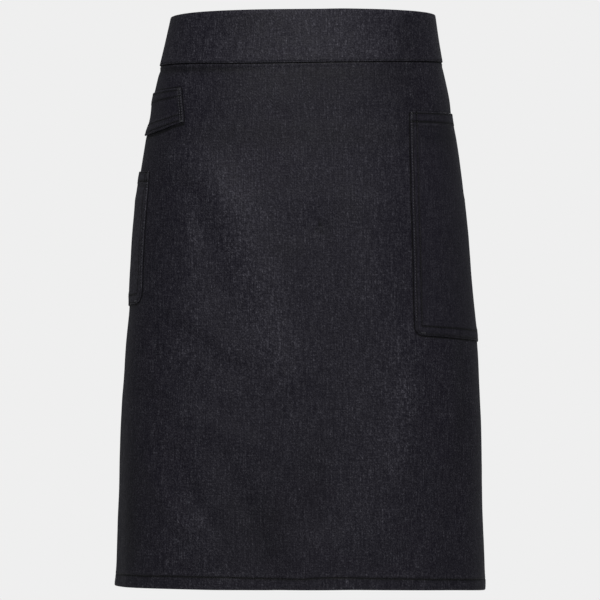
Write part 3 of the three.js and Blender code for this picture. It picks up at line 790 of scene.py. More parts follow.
TWILL_COLOURS = (0.0105, 0.0103, 0.0119), (0.0355, 0.0345, 0.0405)
TAPE_COLOURS = (0.0125, 0.0122, 0.0135), (0.03, 0.029, 0.032)
TWILL = woven("black_twill", *TWILL_COLOURS)
PATCH_TWILL = woven("black_twill_patches", *TWILL_COLOURS, grain=0.72)
TAPE = woven("tie_tape", *TAPE_COLOURS, twill=False, depth=0.2 * MM, roughness=0.75)
DARK_THREAD = thread("dark_thread", (0.004, 0.004, 0.005))
# A lighter copy of the dark thread, as a painted highlight on the stitches of the pockets' front and back
# edges, the loop's ends and the bar tacks
HIGHLIT_THREAD = thread("highlit_thread", (0.068, 0.068, 0.076))


# The panel

def panel_out(arc, height, across):
    """Relief of the panel's outside: seam bulge, hem groove, roping and turned edges."""
    from_seam, from_hem, from_side = edges_of(arc, height, across)
    row = hem_row(arc)
    fullness = 0.75 + 0.25 * hills(arc, 0, 0.02, 21)
    out = 0.45 * MM * bump(from_seam, 2.4 * MM, 1.4 * MM) * fullness
    out = out - (0.25 + 0.4 * smooth(-across, 0, 0.3)) * MM * bump(from_seam, 6 * MM, 2.8 * MM) * fullness
    slanted = arc + 0.55 * from_hem
    roping = hills(slanted, 0, 0.013, 22) + 0.5 * hills(slanted, 5, 0.0065, 23)
    in_hem = smooth(from_hem, 0, 2.5 * MM) * (1 - smooth(from_hem, row - 1.5 * MM, row + 0.5 * MM))
    out = out + roping * MM * (0.42 * in_hem + 0.16 * bump(from_hem, row + 3 * MM, 6 * MM))
    out = out - 0.42 * MM * bump(from_hem, row, 0.65 * MM)
    out = out + 0.12 * MM * bump(from_hem, row + 2 * MM, 1.2 * MM)
    out = out + 0.25 * MM * hills(height, 7, 0.012, 24) * bump(from_side, SIDE_HEM_ROW / 2, 4 * MM)
    return out - 0.35 * MM * bump(from_side, SIDE_HEM_ROW, 0.6 * MM)


def edges_of(arc, height, across):
    """Distances of a place on the panel from its seam, its hem and its side."""
    return seam_at(across) - height, height - hem_at(across), half_span(height) - np.abs(arc)


def painted_fold_tone(arc, height):
    """How much painted light and how much painted shade the broad areas give a place."""
    tone = 0.0
    for across, down, wide, tall, slant, amount in zip(*PAINTED_FOLD_TONES.values()):
        centre = SEAM_HEIGHT - down * SKIRT_LENGTH
        u, v = (arc - across * half_span(centre)) / MM, (height - centre) / MM
        c, s = math.cos(math.radians(slant)), math.sin(math.radians(slant))
        tone = tone + amount * np.exp(-(((u * c + v * s) / wide) ** 2) - ((v * c - u * s) / tall) ** 2)
    return PAINTED_LIGHT_STRENGTH * np.maximum(tone, 0), PAINTED_SHADE_STRENGTH * np.maximum(-tone, 0)


def hem_row(arc):
    """How far above the bottom edge the hem is stitched, which wanders a little."""
    return edge_at("row", arc / half_span(HEM_HEIGHT)) * MM + 0.25 * MM * hills(arc, 3, 0.03, 25)


def panel_place(columns, rows):
    """Arcs and heights of a grid over the panel, from shares and distances to its edges."""
    share, inset = columns
    part, from_top, from_bottom = (row[:, None] for row in rows)
    across = share + 0 * part
    low = hem_at(across) + from_bottom * hem_row(share * half_span(HEM_HEIGHT)) / HEM_ROW
    height = (seam_at(across) - from_top) * (1 - part) + low * part
    half = half_span(height)
    return np.where(inset >= 0, np.sign(share) * (half - inset), across * half), height


def panel_columns():
    near = close_to(2.2 * MM, [SIDE_HEM_ROW], SIDE_ZONE)
    half = half_span((SEAM_HEIGHT + HEM_HEIGHT) / 2)
    edge_share = 1 - SIDE_ZONE / half
    even = spaced(-edge_share, edge_share, PANEL_STEP / half)
    middle = np.sort(np.concatenate([even, PUCKER_ACROSS + PUCKER_STEPS / half]))
    share = np.concatenate([-np.ones(len(near)), middle, np.ones(len(near))])
    return share, np.concatenate([near, -np.ones(len(middle)), near[::-1]])


def panel_rows():
    near_hem = close_to(2.2 * MM, [HEM_ROW], HEM_ZONE)
    even = spaced(0, 1, PANEL_STEP / (SKIRT_LENGTH - TOP_ZONE - HEM_ZONE))
    middle = np.sort(np.concatenate([even, PUCKER_DOWN + PUCKER_STEPS / SKIRT_LENGTH]))
    none, top = np.zeros(len(near_hem)), np.zeros(len(SEAM_STEPS) + 1)
    part = np.concatenate([top, middle, none + 1])
    from_top = np.concatenate([SEAM_STEPS * MM, np.full(len(middle) + 1, TOP_ZONE), none])
    return part, from_top, np.concatenate([top, np.full(len(middle), HEM_ZONE), near_hem[::-1]])


def panel():
    columns, rows = panel_columns(), panel_rows()
    arc, height = panel_place(columns, rows)
    across = arc / half_span(height)
    from_seam, from_hem, from_side = edges_of(arc, height, across)
    row = hem_row(arc)
    out = panel_out(arc, height, across)
    turned = 1 - smooth(from_hem, row + 0.7 * MM, row + 1.3 * MM)
    turned = np.maximum(turned, 1 - smooth(from_side, EDGE_TURN, EDGE_TURN + 0.6 * MM))
    thickness = CLOTH * (1 + turned * (from_seam > 0))
    edge = np.minimum(from_hem, from_side)
    pull = rounding(edge, PANEL_RADIUS)
    outer, _ = face_at(arc, height, out - pull)
    groove = 0.3 * MM * (bump(from_hem, row, 0.6 * MM) + bump(from_side, SIDE_HEM_ROW, 0.6 * MM))
    inner, _ = face_at(arc, height, out * INSIDE_RELIEF - thickness + pull + groove)

    # Lighter: the edges, the relief's crests, the fold ridges and a strip below the hem's row. Painted
    # highlight: the bulge under the seam, a strip above the hem's row, and the painted fold light of the
    # broad areas
    crest = np.clip((out - 0.1 * MM) / (0.5 * MM), 0, 1) * smooth(from_seam, 0.02, 0.04)
    wear = 0.3 * np.exp(-edge / (0.8 * MM)) + 0.3 * crest + 0.15 * bump(from_seam, 2.8 * MM, 0.9 * MM)
    wear = wear + 0.22 * bump(from_hem, row + 3.2 * MM, 2 * MM)
    wear = wear + 0.1 * bump(from_hem, row - 2.4 * MM, 1.2 * MM)
    ridge = CLOTH_SURFACE.mix(CLOTH_SURFACE.rise[..., None], arc, height)[..., 0]
    painted_light_and_wear, painted_fold_shade = painted_fold_tone(arc, height)
    wear = wear + 0.12 * smooth(ridge, MM, 5 * MM) + painted_light_and_wear

    # Painted shade: the shadow under the band's edge and the soft band below it, the grooves of the
    # stitching, and the painted fold shade of the broad areas
    left = smooth(-across, 0, 0.3)
    shade = np.maximum.reduce([
        0.93 * (1 - smooth(from_seam, 0.8 * MM, 1.6 * MM)),
        (0.16 + 0.5 * left) * bump(from_seam, 6.6 * MM, 4.4 * MM),
        bump(from_hem, row, 1.25 * MM),
        0.7 * bump(from_side, SIDE_HEM_ROW, 0.8 * MM),
        painted_fold_shade,
    ])
    fields = {"wear": wear, "shade": shade, "beside": beside(arc, height)}
    return sheet_mesh("apron_panel_cloth", outer, inner, np.stack([arc, height], -1), **fields)


def beside(arc, height):
    """How far outside the nearest patch a place is: 0.5 at its edge, 1 at BESIDE_REACH."""
    outside = [outside_loop(arc, height), *(made.outside(arc, height) for made in POCKETS.values())]
    return 0.5 + np.minimum(np.minimum.reduce(outside), BESIDE_REACH) / BESIDE_REACH / 2


def panel_outside(arc, height):
    return face_at(arc, height, panel_out(arc, height, arc / half_span(height)))


def panel_inside(arc, height):
    out = panel_out(arc, height, arc / half_span(height)) * INSIDE_RELIEF
    points, normals = face_at(arc, height, out - 2 * CLOTH + 0.3 * MM)
    return points, -normals


def panel_stitch_rows():
    across = np.linspace(-1, 1, 900)
    half = half_span(hem_at(across) + HEM_ROW)
    arc = across * (half - 2 * MM)
    down = np.linspace(SEAM_HEIGHT - 2 * MM, HEM_HEIGHT + 2 * MM, 600)
    rows = []
    for face in (panel_outside, panel_inside):
        rows.append(row_on(face, arc, hem_at(arc / half) + hem_row(arc)))
        for side in (-1, 1):
            rows.append(row_on(face, side * (half_span(down) - SIDE_HEM_ROW), down))
    return rows


# The waistband: one strip folded over at the top, round the panel's top edge

def band_relief(arc, from_seam, from_top):
    fullness = hills(arc + 0.4 * from_seam, 0, 0.011, 31)
    out = -0.4 * MM * bump(from_seam, BAND_ROW, 0.6 * MM)
    out = out + 0.1 * MM * fullness * bump(from_seam, 4.5 * MM, 4 * MM)
    out = out + 0.16 * MM * hills(arc, from_seam, 0.03, 32) * smooth(from_seam, 0, 0.01)
    return out + 0.12 * MM * fullness * bump(from_top, 2 * MM, 3 * MM)


def band_rows():
    """Rows round the folded strip, from the edge inside the body to the edge outside.

    Each has both faces' distances out, the share of the band's height, both faces' rises
    past it, and whether it is on the outside.
    """
    body = spaced(0, 1, 3 * MM / (BAND_HEIGHT - 20 * MM))
    rows = []
    for rise in BAND_RISES * MM:
        pull = rounding(rise, BAND_RADIUS)
        middle = -2.3 * MM + 2.0 * MM * smooth(rise, 11 * MM, 14.5 * MM)
        rows.append((middle - CLOTH / 2 + pull, middle + CLOTH / 2 - pull, 0, rise, rise, 0))
    for part in body:
        rise = BAND_RISES[-1] * MM * (1 - part) - BAND_BELOW_TOP * part
        rows.append((INNER_FACE, INNER_FACE + CLOTH, part, rise, rise, 0))
    for angle in np.linspace(0, math.pi, 9):
        outs = [(BAND_FACE + INNER_FACE) / 2 - radius * math.cos(angle) for radius in FOLD_RADII]
        rises = [radius * math.sin(angle) - FOLD_RADII[0] for radius in FOLD_RADII]
        rows.append((*outs, 1, *rises, 0))
    for part in body[::-1]:
        rise = BAND_ZONE * (1 - part) - BAND_BELOW_TOP * part
        rows.append((BAND_FACE, BAND_FACE - CLOTH, part, rise, rise, 1))
    for rise in close_to(2 * MM, [BAND_ROW], BAND_ZONE)[::-1]:
        pull = rounding(rise, BAND_RADIUS)
        rows.append((BAND_FACE - pull, BAND_FACE - CLOTH + pull, 0, rise, rise, 1))
    return np.array(rows).T[..., None]


def waistband():
    outer_out, inner_out, part, outer_rise, inner_rise, outside = band_rows()
    cover = BAND_COVERS * MM
    ends = np.ones(len(cover))
    share = np.concatenate([-ends, np.linspace(-1, 1, BAND_COLUMNS), ends])
    beyond = np.concatenate([-cover, np.zeros(BAND_COLUMNS), cover[::-1]])
    low, high = seam_at(share), top_at(share)
    outer_height, inner_height = (low + (high - low) * part + rise for rise in (outer_rise, inner_rise))
    arc = share * half_span(outer_height) + beyond
    past = np.abs(beyond)
    end = BAND_END_COVER - past
    pull = np.where(past > 0, rounding(end, BAND_RADIUS), 0) * np.sign(outer_out - inner_out)
    slack = np.minimum(outer_out - INNER_FACE, 0) * (1 - outside) * smooth(past, 0.5 * MM, 5 * MM)
    rise = outer_height - low
    relief = band_relief(arc, rise, high - outer_height) * outside
    outer, _ = face_at(arc, outer_height, outer_out + relief - slack - pull)
    inner, _ = face_at(arc, inner_height, inner_out - slack + pull)

    strip = gone_along(outer[:, BAND_COLUMNS // 2])
    uv = np.stack([arc, np.broadcast_to(-strip[:, None], arc.shape)], -1)
    # Painted fold light and painted fold shade from the broad areas
    painted_light_and_wear, painted_fold_shade = painted_fold_tone(arc, outer_height)
    # The band is lighter all over, along its top fold and at its ends, and it takes the painted fold light
    wear = 0.12 + 0.2 * bump(high - outer_height, 0, 1.2 * MM) + 0.4 * np.exp(-end / MM) * (beyond != 0)
    # Painted shade along the band's lower edge and its row of stitching
    shade = 0.4 * np.exp(-np.maximum(rise, 0) / (0.3 * MM)) + 0.2 * bump(rise, BAND_ROW, 0.5 * MM)
    shade = np.minimum(np.maximum(shade, painted_fold_shade), 1) * outside
    return sheet_mesh("waistband_cloth", outer, inner, uv, wear=wear + painted_light_and_wear * outside, shade=shade)


def band_face(arc, from_seam):
    across = np.clip(arc / half_span(SEAM_HEIGHT), -1, 1)
    height = seam_at(across) + from_seam
    return face_at(arc, height, BAND_FACE + band_relief(arc, from_seam, top_at(across) - height))


def band_stitch_rows():
    end = half_span(SEAM_HEIGHT) + BAND_END_COVER - 2 * MM
    rows = [row_on(band_face, np.linspace(-end, end, 800), BAND_ROW)]
    up = np.linspace(2 * MM, BAND_HEIGHT * 0.9, 60)
    for side in (-1, 1):
        end = half_span(seam_at(side) + up) + BAND_END_COVER
        rows.append(row_on(band_face, side * (end - 3.5 * MM), up))
    return rows


# Patches: x runs back from the front edge of a patch, and y down from its top edge

def places_over(length, near, far, step):
    """Places over a length: close together at both ends and a step apart between them."""
    return np.concatenate([near, spaced(near[-1], length - far[-1], step), length - far[::-1]])


def patch_mesh(name, arc, height, front, back, edge, uv, **fields):
    """The cloth of a patch between its two faces, with a rounded edge."""
    back = back + np.minimum(rounding(edge, PATCH_RADIUS), 0.3 * MM)
    outer, _ = face_at(arc, height, np.maximum(front, back + 0.08 * MM))
    inner, _ = face_at(arc, height, back)
    cloth = sheet_mesh(name + "_cloth", outer, inner, uv, **fields)
    return dress(cloth, PATCH_TWILL, name)


def tack(face, x0, y0, x1, y1, width):
    """A bar tack: close stitches across a short line."""
    long = np.hypot(x1 - x0, y1 - y0)
    across = np.array([y1 - y0, x0 - x1]) / long * width / 2
    line = np.linspace(-1, 1, 5)
    rows = []
    for k, s in enumerate(np.linspace(0, 1, max(int(long / TACK_PITCH), 4))):
        aside = 0.15 * MM if k % 2 else -0.15 * MM
        x, y = x0 + (x1 - x0) * s + across[0] * line + aside, y0 + (y1 - y0) * s + across[1] * line
        rows.append(row_on(face, x, y, pitch=width, length=0.95, radius=0.2 * MM, lean=0.0))
    return rows


class Pocket:
    """A patch pocket, with its mouth at the top."""

    def __init__(self, side, width, height, drop, ahead, slant, fall, corner, painted_light_and_wear, seed):
        self.side, self.width, self.height, self.painted_light_and_wear = side, width, height, painted_light_and_wear
        self.slant, self.fall, self.corner, self.seed = slant, fall, corner, seed
        self.top = SEAM_HEIGHT - drop
        self.front_arc = half_girth(self.top) / 2 - ahead

    def lift(self, x, y):
        return rounding(within(x, self.width), self.corner) * (y / self.height) ** 3

    def edges(self, x, y):
        """Distances to the sewn edge and to the mouth."""
        flat = y - self.lift(x, y)
        side, bottom = within(x, self.width), (self.height - flat) * BOTTOM_SCALE
        in_corner = (side < self.corner) & (bottom < self.corner)
        round_corner = self.corner - np.hypot(self.corner - side, self.corner - bottom)
        return np.maximum(np.where(in_corner, round_corner, np.minimum(side, bottom)), 0), flat

    def outside(self, arc, height):
        """How far a place on the panel is outside the pocket's edge, three times as far above it."""
        back, down = self.side * arc - self.front_arc, self.top - height
        x, y = back, down
        for _ in range(3):
            share = np.clip(y / self.height, 0, 1)
            x = back - self.slant * share
            y = down - self.fall * share * np.clip(x / self.width, 0, 1)
        past = np.maximum(np.maximum(-x, x - self.width), np.maximum(-3 * y, y - self.height))
        side, low = within(x, self.width), self.height - y
        in_corner = (side < self.corner) & (low < self.corner)
        return np.where(in_corner, np.hypot(self.corner - side, self.corner - low) - self.corner, past)

    def place(self, x, y):
        share = y / self.height
        height = self.top - y - self.fall * share * (x / self.width) + self.lift(x, y)
        return self.side * (self.front_arc + x + self.slant * share), height

    def back(self, x, y):
        sewn, _ = self.edges(x, y)
        away = np.sin(math.pi * x / self.width) ** 2 * (1 - y / self.height) ** 2
        return PATCH_GAP + (LAYER_GAP / 2 + POCKET_EASE * away) * smooth(sewn, 0.5 * MM, 9 * MM)

    def front(self, x, y):
        sewn, mouth = self.edges(x, y)
        layer = np.maximum(
            0.45 * MM * (1 - smooth(sewn, SIDE_TURN - 0.5 * MM, SIDE_TURN + 0.5 * MM)),
            0.5 * MM * (1 - smooth(mouth, MOUTH_TURN - 0.4 * MM, MOUTH_TURN + 0.4 * MM)),
        )
        out = self.back(x, y) + PATCH_CLOTH + layer
        out = out - 0.35 * MM * sum(bump(sewn, row, 0.55 * MM) for row in POCKET_ROWS)
        out = out - 0.4 * MM * sum(bump(mouth, row, 0.6 * MM) for row in (EDGE_ROW, MOUTH_ROW))
        puff = hills(x + y, 0, 0.009, self.seed)
        out = out + 0.16 * MM * puff * bump(sewn, sum(POCKET_ROWS) / 2, 2 * MM)
        out = out + 0.14 * MM * puff * bump(mouth, MOUTH_ROW / 2, 3 * MM)
        out = out + 0.3 * MM * hills(x, y, 0.04, self.seed + 1) * smooth(sewn, 8 * MM, 30 * MM)
        return out - rounding(sewn, PATCH_RADIUS) - rounding(mouth, PATCH_RADIUS)

    def face(self, x, y):
        return face_at(*self.place(x, y), self.front(x, y))

    def cloth(self, name):
        near = close_to(2 * MM, [*POCKET_ROWS, SIDE_TURN], POCKET_SIDE_ZONE)
        top = close_to(2 * MM, [EDGE_ROW, MOUTH_ROW, MOUTH_TURN], MOUTH_ZONE)
        x = places_over(self.width, near, near, POCKET_STEP)[::self.side]
        x, y = np.meshgrid(x, places_over(self.height, top, near, POCKET_STEP))
        arc, height = self.place(x, y)
        sewn, mouth = self.edges(x, y)
        # Painted fold light and painted fold shade from the broad areas
        painted_light_and_wear, painted_fold_shade = painted_fold_tone(arc, height)
        # Lighter: the whole pocket by its own amount and the painted fold light. Painted highlight: the
        # mouth's top edge and a line below the mouth's stitching
        wear = self.painted_light_and_wear + painted_light_and_wear + 0.9 * np.exp(-mouth / (0.8 * MM))
        wear = wear + 0.45 * bump(mouth, MOUTH_ROW + 2.5 * MM, 0.9 * MM)
        low = smooth(y, self.height - 25 * MM, self.height - 10 * MM)
        # Painted shade in the grooves of the stitching along the sewn edges and the mouth, and below the
        # mouth's turn
        shade = (0.7 - 0.5 * low) * bump(sewn, POCKET_ROWS[0] + 1.4 * MM, 0.9 * MM)
        shade = shade + (0.8 + 0.1 * low) * bump(sewn, POCKET_ROWS[1], 1.05 * MM)
        shade = shade + 0.6 * low * bump(sewn, POCKET_ROWS[0], 0.6 * MM)
        shade = shade + 0.95 * bump(mouth, EDGE_ROW + 0.3 * MM, MM) + bump(mouth, MOUTH_ROW, 1.3 * MM)
        shade = shade + 0.35 * bump(mouth, MOUTH_TURN + 2.4 * MM, 1.2 * MM)
        uv = np.stack([self.side * (x + 0.31), -(y + self.fall / self.width * x) + 0.17], -1)
        return patch_mesh(
            name, arc, height, self.front(x, y), self.back(x, y), np.minimum(sewn, mouth), uv,
            wear=wear, shade=np.maximum(shade, painted_fold_shade),
        )

    def outline(self, inset):
        """Places along the three sewn sides, a distance in from the edge."""
        radius = max(self.corner - inset, 0.5 * MM)
        bottom = self.height - inset / BOTTOM_SCALE
        drop = radius / BOTTOM_SCALE
        turn = np.linspace(0, math.pi / 2, 40)[1:]
        middle = np.linspace(inset + radius, self.width - inset - radius, OUTLINE_STEPS)[1:]
        down = np.linspace(inset * 0.2, bottom - drop, OUTLINE_STEPS)
        x = np.concatenate([np.full(OUTLINE_STEPS, inset), inset + radius * (1 - np.cos(turn)), middle])
        flat = np.concatenate([down, bottom - drop + drop * np.sin(turn), np.full(len(middle), bottom)])
        x, flat = np.concatenate([x, self.width - x[::-1]]), np.concatenate([flat, flat[::-1]])
        keep = np.concatenate([[True], np.hypot(np.diff(x), np.diff(flat)) > 0.01 * MM])
        x, y = x[keep], self.lifted(x[keep], flat[keep], 12)
        return x, np.clip(y, 0, self.height)

    def lifted(self, x, flat, rounds):
        """The y of places whose distance down the flat pocket is known."""
        y = flat
        for _ in range(rounds):
            y = flat + self.lift(x, y)
        return y

    def mouth(self, inset):
        x = np.linspace(2 * MM, self.width - 2 * MM, 400)
        return x, self.lifted(x, np.full(x.shape, inset), 6)

    def tacks(self):
        rows = []
        for x in (TACK_INSET, self.width - TACK_INSET):
            rows += tack(self.face, x, 1.2 * MM, x, 7 * MM, TACK_WIDTH)
        low = self.height - 2.6 * MM
        return rows + tack(self.face, self.corner - 2 * MM, low, self.corner + 3.5 * MM, low, TACK_WIDTH)


POCKETS = {
    "side_pocket": Pocket(
        side=1, width=0.190, height=0.251, drop=0.0545, ahead=0.111, slant=3.3 * MM,
        fall=12 * MM, corner=9 * MM, painted_light_and_wear=0.0, seed=41,
    ),
    "hip_pocket": Pocket(
        side=-1, width=0.112, height=0.1495, drop=0.1205, ahead=0.058, slant=3 * MM,
        fall=5 * MM, corner=12 * MM, painted_light_and_wear=0.5, seed=51,
    ),
}


def pocket(name, made):
    cloth = made.cloth(name)
    x, y = made.outline(POCKET_ROWS[0])
    level = y > made.height - made.corner
    sides = [(x < made.width / 2) & ~level, (x > made.width / 2) & ~level]
    edge = [row_on(made.face, x[part], y[part], **HIGHLIT_ROW) for part in sides]
    places = [(x[level], y[level]), made.outline(POCKET_ROWS[1]), made.mouth(EDGE_ROW), made.mouth(MOUTH_ROW)]
    dark = [row_on(made.face, *place) for place in places]
    kinds = [
        ("_edge_stitches", edge, HIGHLIT_THREAD),
        ("_stitches", dark, DARK_THREAD),
        ("_bar_tacks", made.tacks(), HIGHLIT_THREAD),
    ]
    threads = [
        stitches(name + kind, rows, material, made.seed + 3 + k)
        for k, (kind, rows, material) in enumerate(kinds)
    ]


# Towel loop: a strip stitched down at both ends, that sags and stands off between them

LOOP_START = half_girth(LOOP_TOP) / 2 - LOOP_AHEAD


def loop_shape(x, *columns):
    return (read_table(LOOP_SHAPE, "along", column, x / LOOP_LENGTH) for column in columns)


def loop_back(x, y):
    (away,) = loop_shape(x, "away")
    free = smooth(within(x, LOOP_LENGTH), 3 * MM, 16 * MM)
    return PATCH_GAP + free * (0.15 * MM + LOOP_EASE * away * (0.1 + 0.9 * (y / LOOP_HEIGHT) ** 3))


def loop_front(x, y):
    """Distance out of the loop's face."""
    end, edge = within(x, LOOP_LENGTH), within(y, LOOP_HEIGHT)
    turned = 1 - smooth(edge, LOOP_ROW + 0.8 * MM, LOOP_ROW + 1.6 * MM)
    turned = np.maximum(turned, 1 - smooth(end, 6.5 * MM, 7.3 * MM))
    out = loop_back(x, y) + PATCH_CLOTH + 0.45 * MM * turned
    out = out - 0.42 * MM * sum(bump(edge, row, 0.6 * MM) for row in LOOP_ROWS)
    out = out - 0.4 * MM * sum(bump(end, row, 0.5 * MM) for row in LOOP_END_ROWS)
    out = out + 0.18 * MM * hills(x, 0, 0.01, 61) * bump(edge, LOOP_ROW / 2, 3 * MM)
    out = out + 0.25 * MM * hills(x, y, 0.025, 62) * smooth(end, 8 * MM, 20 * MM)
    return out - rounding(edge, PATCH_RADIUS) - rounding(end, PATCH_RADIUS)


def loop_place(x, y):
    rise, tall = loop_shape(x, "top", "height")
    across = y / LOOP_HEIGHT
    return -(LOOP_START + x - across * LOOP_SLANT), LOOP_TOP + (rise - across * tall) * LOOP_HEIGHT


def outside_loop(arc, height):
    """How far a place on the panel is outside the loop's edge, and half as far below it."""
    x, y = -arc - LOOP_START, LOOP_TOP - height
    for _ in range(4):
        rise, tall = loop_shape(x, "top", "height")
        x = -arc - LOOP_START + np.clip(y / LOOP_HEIGHT, 0, 1) * LOOP_SLANT
        y = (LOOP_TOP - height + rise * LOOP_HEIGHT) / tall
    return np.maximum(1.3 * np.maximum(-x, x - LOOP_LENGTH), np.maximum(-1.3 * y, (y - LOOP_HEIGHT) / 2))


def loop_face(x, y):
    return face_at(*loop_place(x, y), loop_front(x, y))


def loop_cloth():
    near_end = close_to(1.5 * MM, LOOP_END_ROWS, LOOP_END_ZONE)
    near_edge = close_to(1.5 * MM, LOOP_ROWS, LOOP_EDGE_ZONE)
    x = places_over(LOOP_LENGTH, near_end, near_end, LOOP_STEP)[::-1]
    x, y = np.meshgrid(x, places_over(LOOP_HEIGHT, near_edge, near_edge, LOOP_ROW_STEP))
    end, edge = within(x, LOOP_LENGTH), within(y, LOOP_HEIGHT)
    # Painted highlight along the loop's top edge and in lines beside its rows
    wear = 0.95 * np.exp(-y / (1.1 * MM)) + 0.25 * bump(edge, LOOP_ROW + 1.8 * MM, MM)
    wear = wear + 0.15 * bump(edge, 5 * MM, 1.6 * MM)
    # Painted shade in the grooves of the loop's rows and between the rows at its ends
    shade = 0.95 * bump(edge, LOOP_EDGE_ROW + 0.3 * MM, 0.9 * MM) + 0.85 * bump(edge, LOOP_ROW, 1.05 * MM)
    shade = np.minimum(shade, 1) * smooth(end, 2 * MM, 7 * MM)
    end_shade = 0.9 * bump(end, LOOP_END_MIDDLE, 0.9 * MM) + 0.6 * bump(end, 6.4 * MM, 0.8 * MM)
    front, back = loop_front(x, y), loop_back(x, y)
    uv = np.stack([-x - 0.07, -y + 0.4], -1)
    return patch_mesh(
        "towel_loop", *loop_place(x, y), front, back, np.minimum(end, edge), uv,
        wear=wear, shade=np.maximum(shade, end_shade),
    )


def towel_loop():
    along = np.linspace(MM, LOOP_LENGTH - MM, 500)
    down = np.linspace(0.6 * MM, LOOP_HEIGHT - 0.6 * MM, 120)
    dark = [row_on(loop_face, along, y) for row in LOOP_ROWS for y in (row, LOOP_HEIGHT - row)]
    ends = [row_on(loop_face, x, down, **HIGHLIT_ROW) for row in LOOP_END_ROWS for x in (row, LOOP_LENGTH - row)]
    for x in (LOOP_END_MIDDLE, LOOP_LENGTH - LOOP_END_MIDDLE):
        for y0, y1 in ((0.8 * MM, 3 * MM), (LOOP_HEIGHT - 3 * MM, LOOP_HEIGHT - 0.8 * MM)):
            ends += tack(loop_face, x, y0, x, y1, 4.4 * MM)
    cloth = loop_cloth()
    threads = [
        stitches("towel_loop_stitches", dark, DARK_THREAD, 63),
        stitches("towel_loop_end_stitches", ends, HIGHLIT_THREAD, 64),
    ]


# Back tie: a tape sewn to both ends of the band and knotted at the centre back

def back_point(offset, height, out):
    """A point at a distance to the +X side of the centre back, and the normal there."""
    girth = half_girth(height)
    return face_at(np.where(offset >= 0, girth - offset, -girth - offset), height, out)


def tape_mesh(name, offset, height, out, thickness, uv):
    """A woven tape from a grid of places: rows downwards, columns towards -X."""
    edge = np.minimum(uv[..., 1] - uv[..., 1].min(), uv[..., 1].max() - uv[..., 1])
    pull = rounding(edge, thickness / 2.2)
    outer, _ = back_point(offset, height, out + thickness - pull)
    inner, _ = back_point(offset, height, out + pull)
    return dress(sheet_mesh(name, outer, inner, uv, wear=0.6 * np.exp(-edge / MM)), TAPE)


def across_tape(count=25):
    """Places across a tape, close together at its selvedges."""
    turn = np.linspace(0, math.pi, count)
    return -0.5 * np.cos(turn) * SELVEDGE + np.linspace(-0.5, 0.5, count) * (1 - SELVEDGE)


def tape_width(from_knot):
    """The tape's width, which is pinched where it comes out of the knot."""
    return TIE_WIDTH * (TIE_PINCH + (1 - TIE_PINCH) * smooth(from_knot, 0, PINCH_LENGTH))


def tie_half(side, band_end):
    reach = band_end + TIE_LAP
    run = np.linspace(reach, 4 * MM, 90)
    run, up = np.meshgrid(run if side > 0 else -run[::-1], across_tape()[::-1])
    from_knot = np.abs(run)
    gathered = 1 - smooth(from_knot, 6 * MM, 70 * MM)
    ripple = np.cos(up * 5 * math.pi) * 1.1 * MM * gathered
    ripple = ripple + 0.5 * MM * hills(run, up * 0.03, 0.03, 71 + side)
    on_band = smooth(from_knot, band_end - TIE_LAP, band_end)
    out = (BAND_FACE + 0.3 * MM) * on_band + ripple * (1 - on_band) + 0.4 * MM
    uv = np.stack([run, up * TIE_WIDTH], -1)
    name = "tie_right" if side > 0 else "tie_left"
    made = tape_mesh(name, run, TIE_MIDDLE + up * tape_width(from_knot), out, HALF_THICKNESS, uv)

    def face(x, y):
        return back_point(side * (reach - x), TIE_MIDDLE + y, BAND_FACE + 0.7 * MM + HALF_THICKNESS)

    steps = np.linspace(0, 1, 30)[:, None]
    box = TIE_BOX * MM
    rows = [row_on(face, *(a + (b - a) * steps).T) for a, b in zip(box, box[1:])]
    sewn = stitches(name + "_stitches", rows, DARK_THREAD, 73 + side)


def tie_tail(side):
    across, down = np.meshgrid(-across_tape(), np.linspace(0, 1, 100))
    from_knot = down * TAIL_LENGTH
    offset = side * (KNOT_WIDTH / 8 + (TAIL_SPREAD / 2) * down) + across * tape_width(from_knot)
    height = TIE_MIDDLE - KNOT_HEIGHT / 4 - from_knot
    crossing = 0 if side > 0 else TIE_THICKNESS + LAYER_GAP
    out = LAYER_GAP + (crossing + KNOT_DEPTH / 4) * (1 - down)
    gathered = 1 - smooth(from_knot, 8 * MM, 90 * MM)
    curl = 1.3 * MM * np.sin(2 * math.pi * (down * 1.7 + 0.2 * side)) * smooth(down, 0.1, 0.6)
    ripple = np.cos(across * 5 * math.pi) * 1.2 * MM * gathered + curl * (0.6 + across * side)
    hem = 1.0 * MM * (from_knot > TAIL_LENGTH - 9 * MM)
    uv = np.stack([from_knot + 0.5 * side, across * TIE_WIDTH], -1)
    name = "tie_tail_right" if side > 0 else "tie_tail_left"
    made = tape_mesh(name, offset, height, out + ripple, TAIL_THICKNESS + hem, uv)


def knot_wrap(angle, across, tilt, scale, wide, wall, seed):
    """Outer and inner points of a tape that is wound once round the knot's middle."""
    bulge = 1 - 0.25 * (2 * across) ** 2
    crease = 0.6 * MM * np.cos(across * 4 * math.pi)
    crease = crease + 0.5 * MM * hills(angle * 0.02, across * 0.05, 0.012, seed)
    x = across * wide * (1 + 0.18 * np.cos(angle))
    for grow in (0, -wall):
        high = (KNOT_HEIGHT / 2 * scale * bulge + grow + crease) * np.sin(angle)
        deep = (KNOT_DEPTH / 2 * scale * bulge + grow + crease) * np.cos(angle)
        along, up = x * math.cos(tilt) - high * math.sin(tilt), x * math.sin(tilt) + high * math.cos(tilt)
        yield np.stack([along, deep, up], -1)


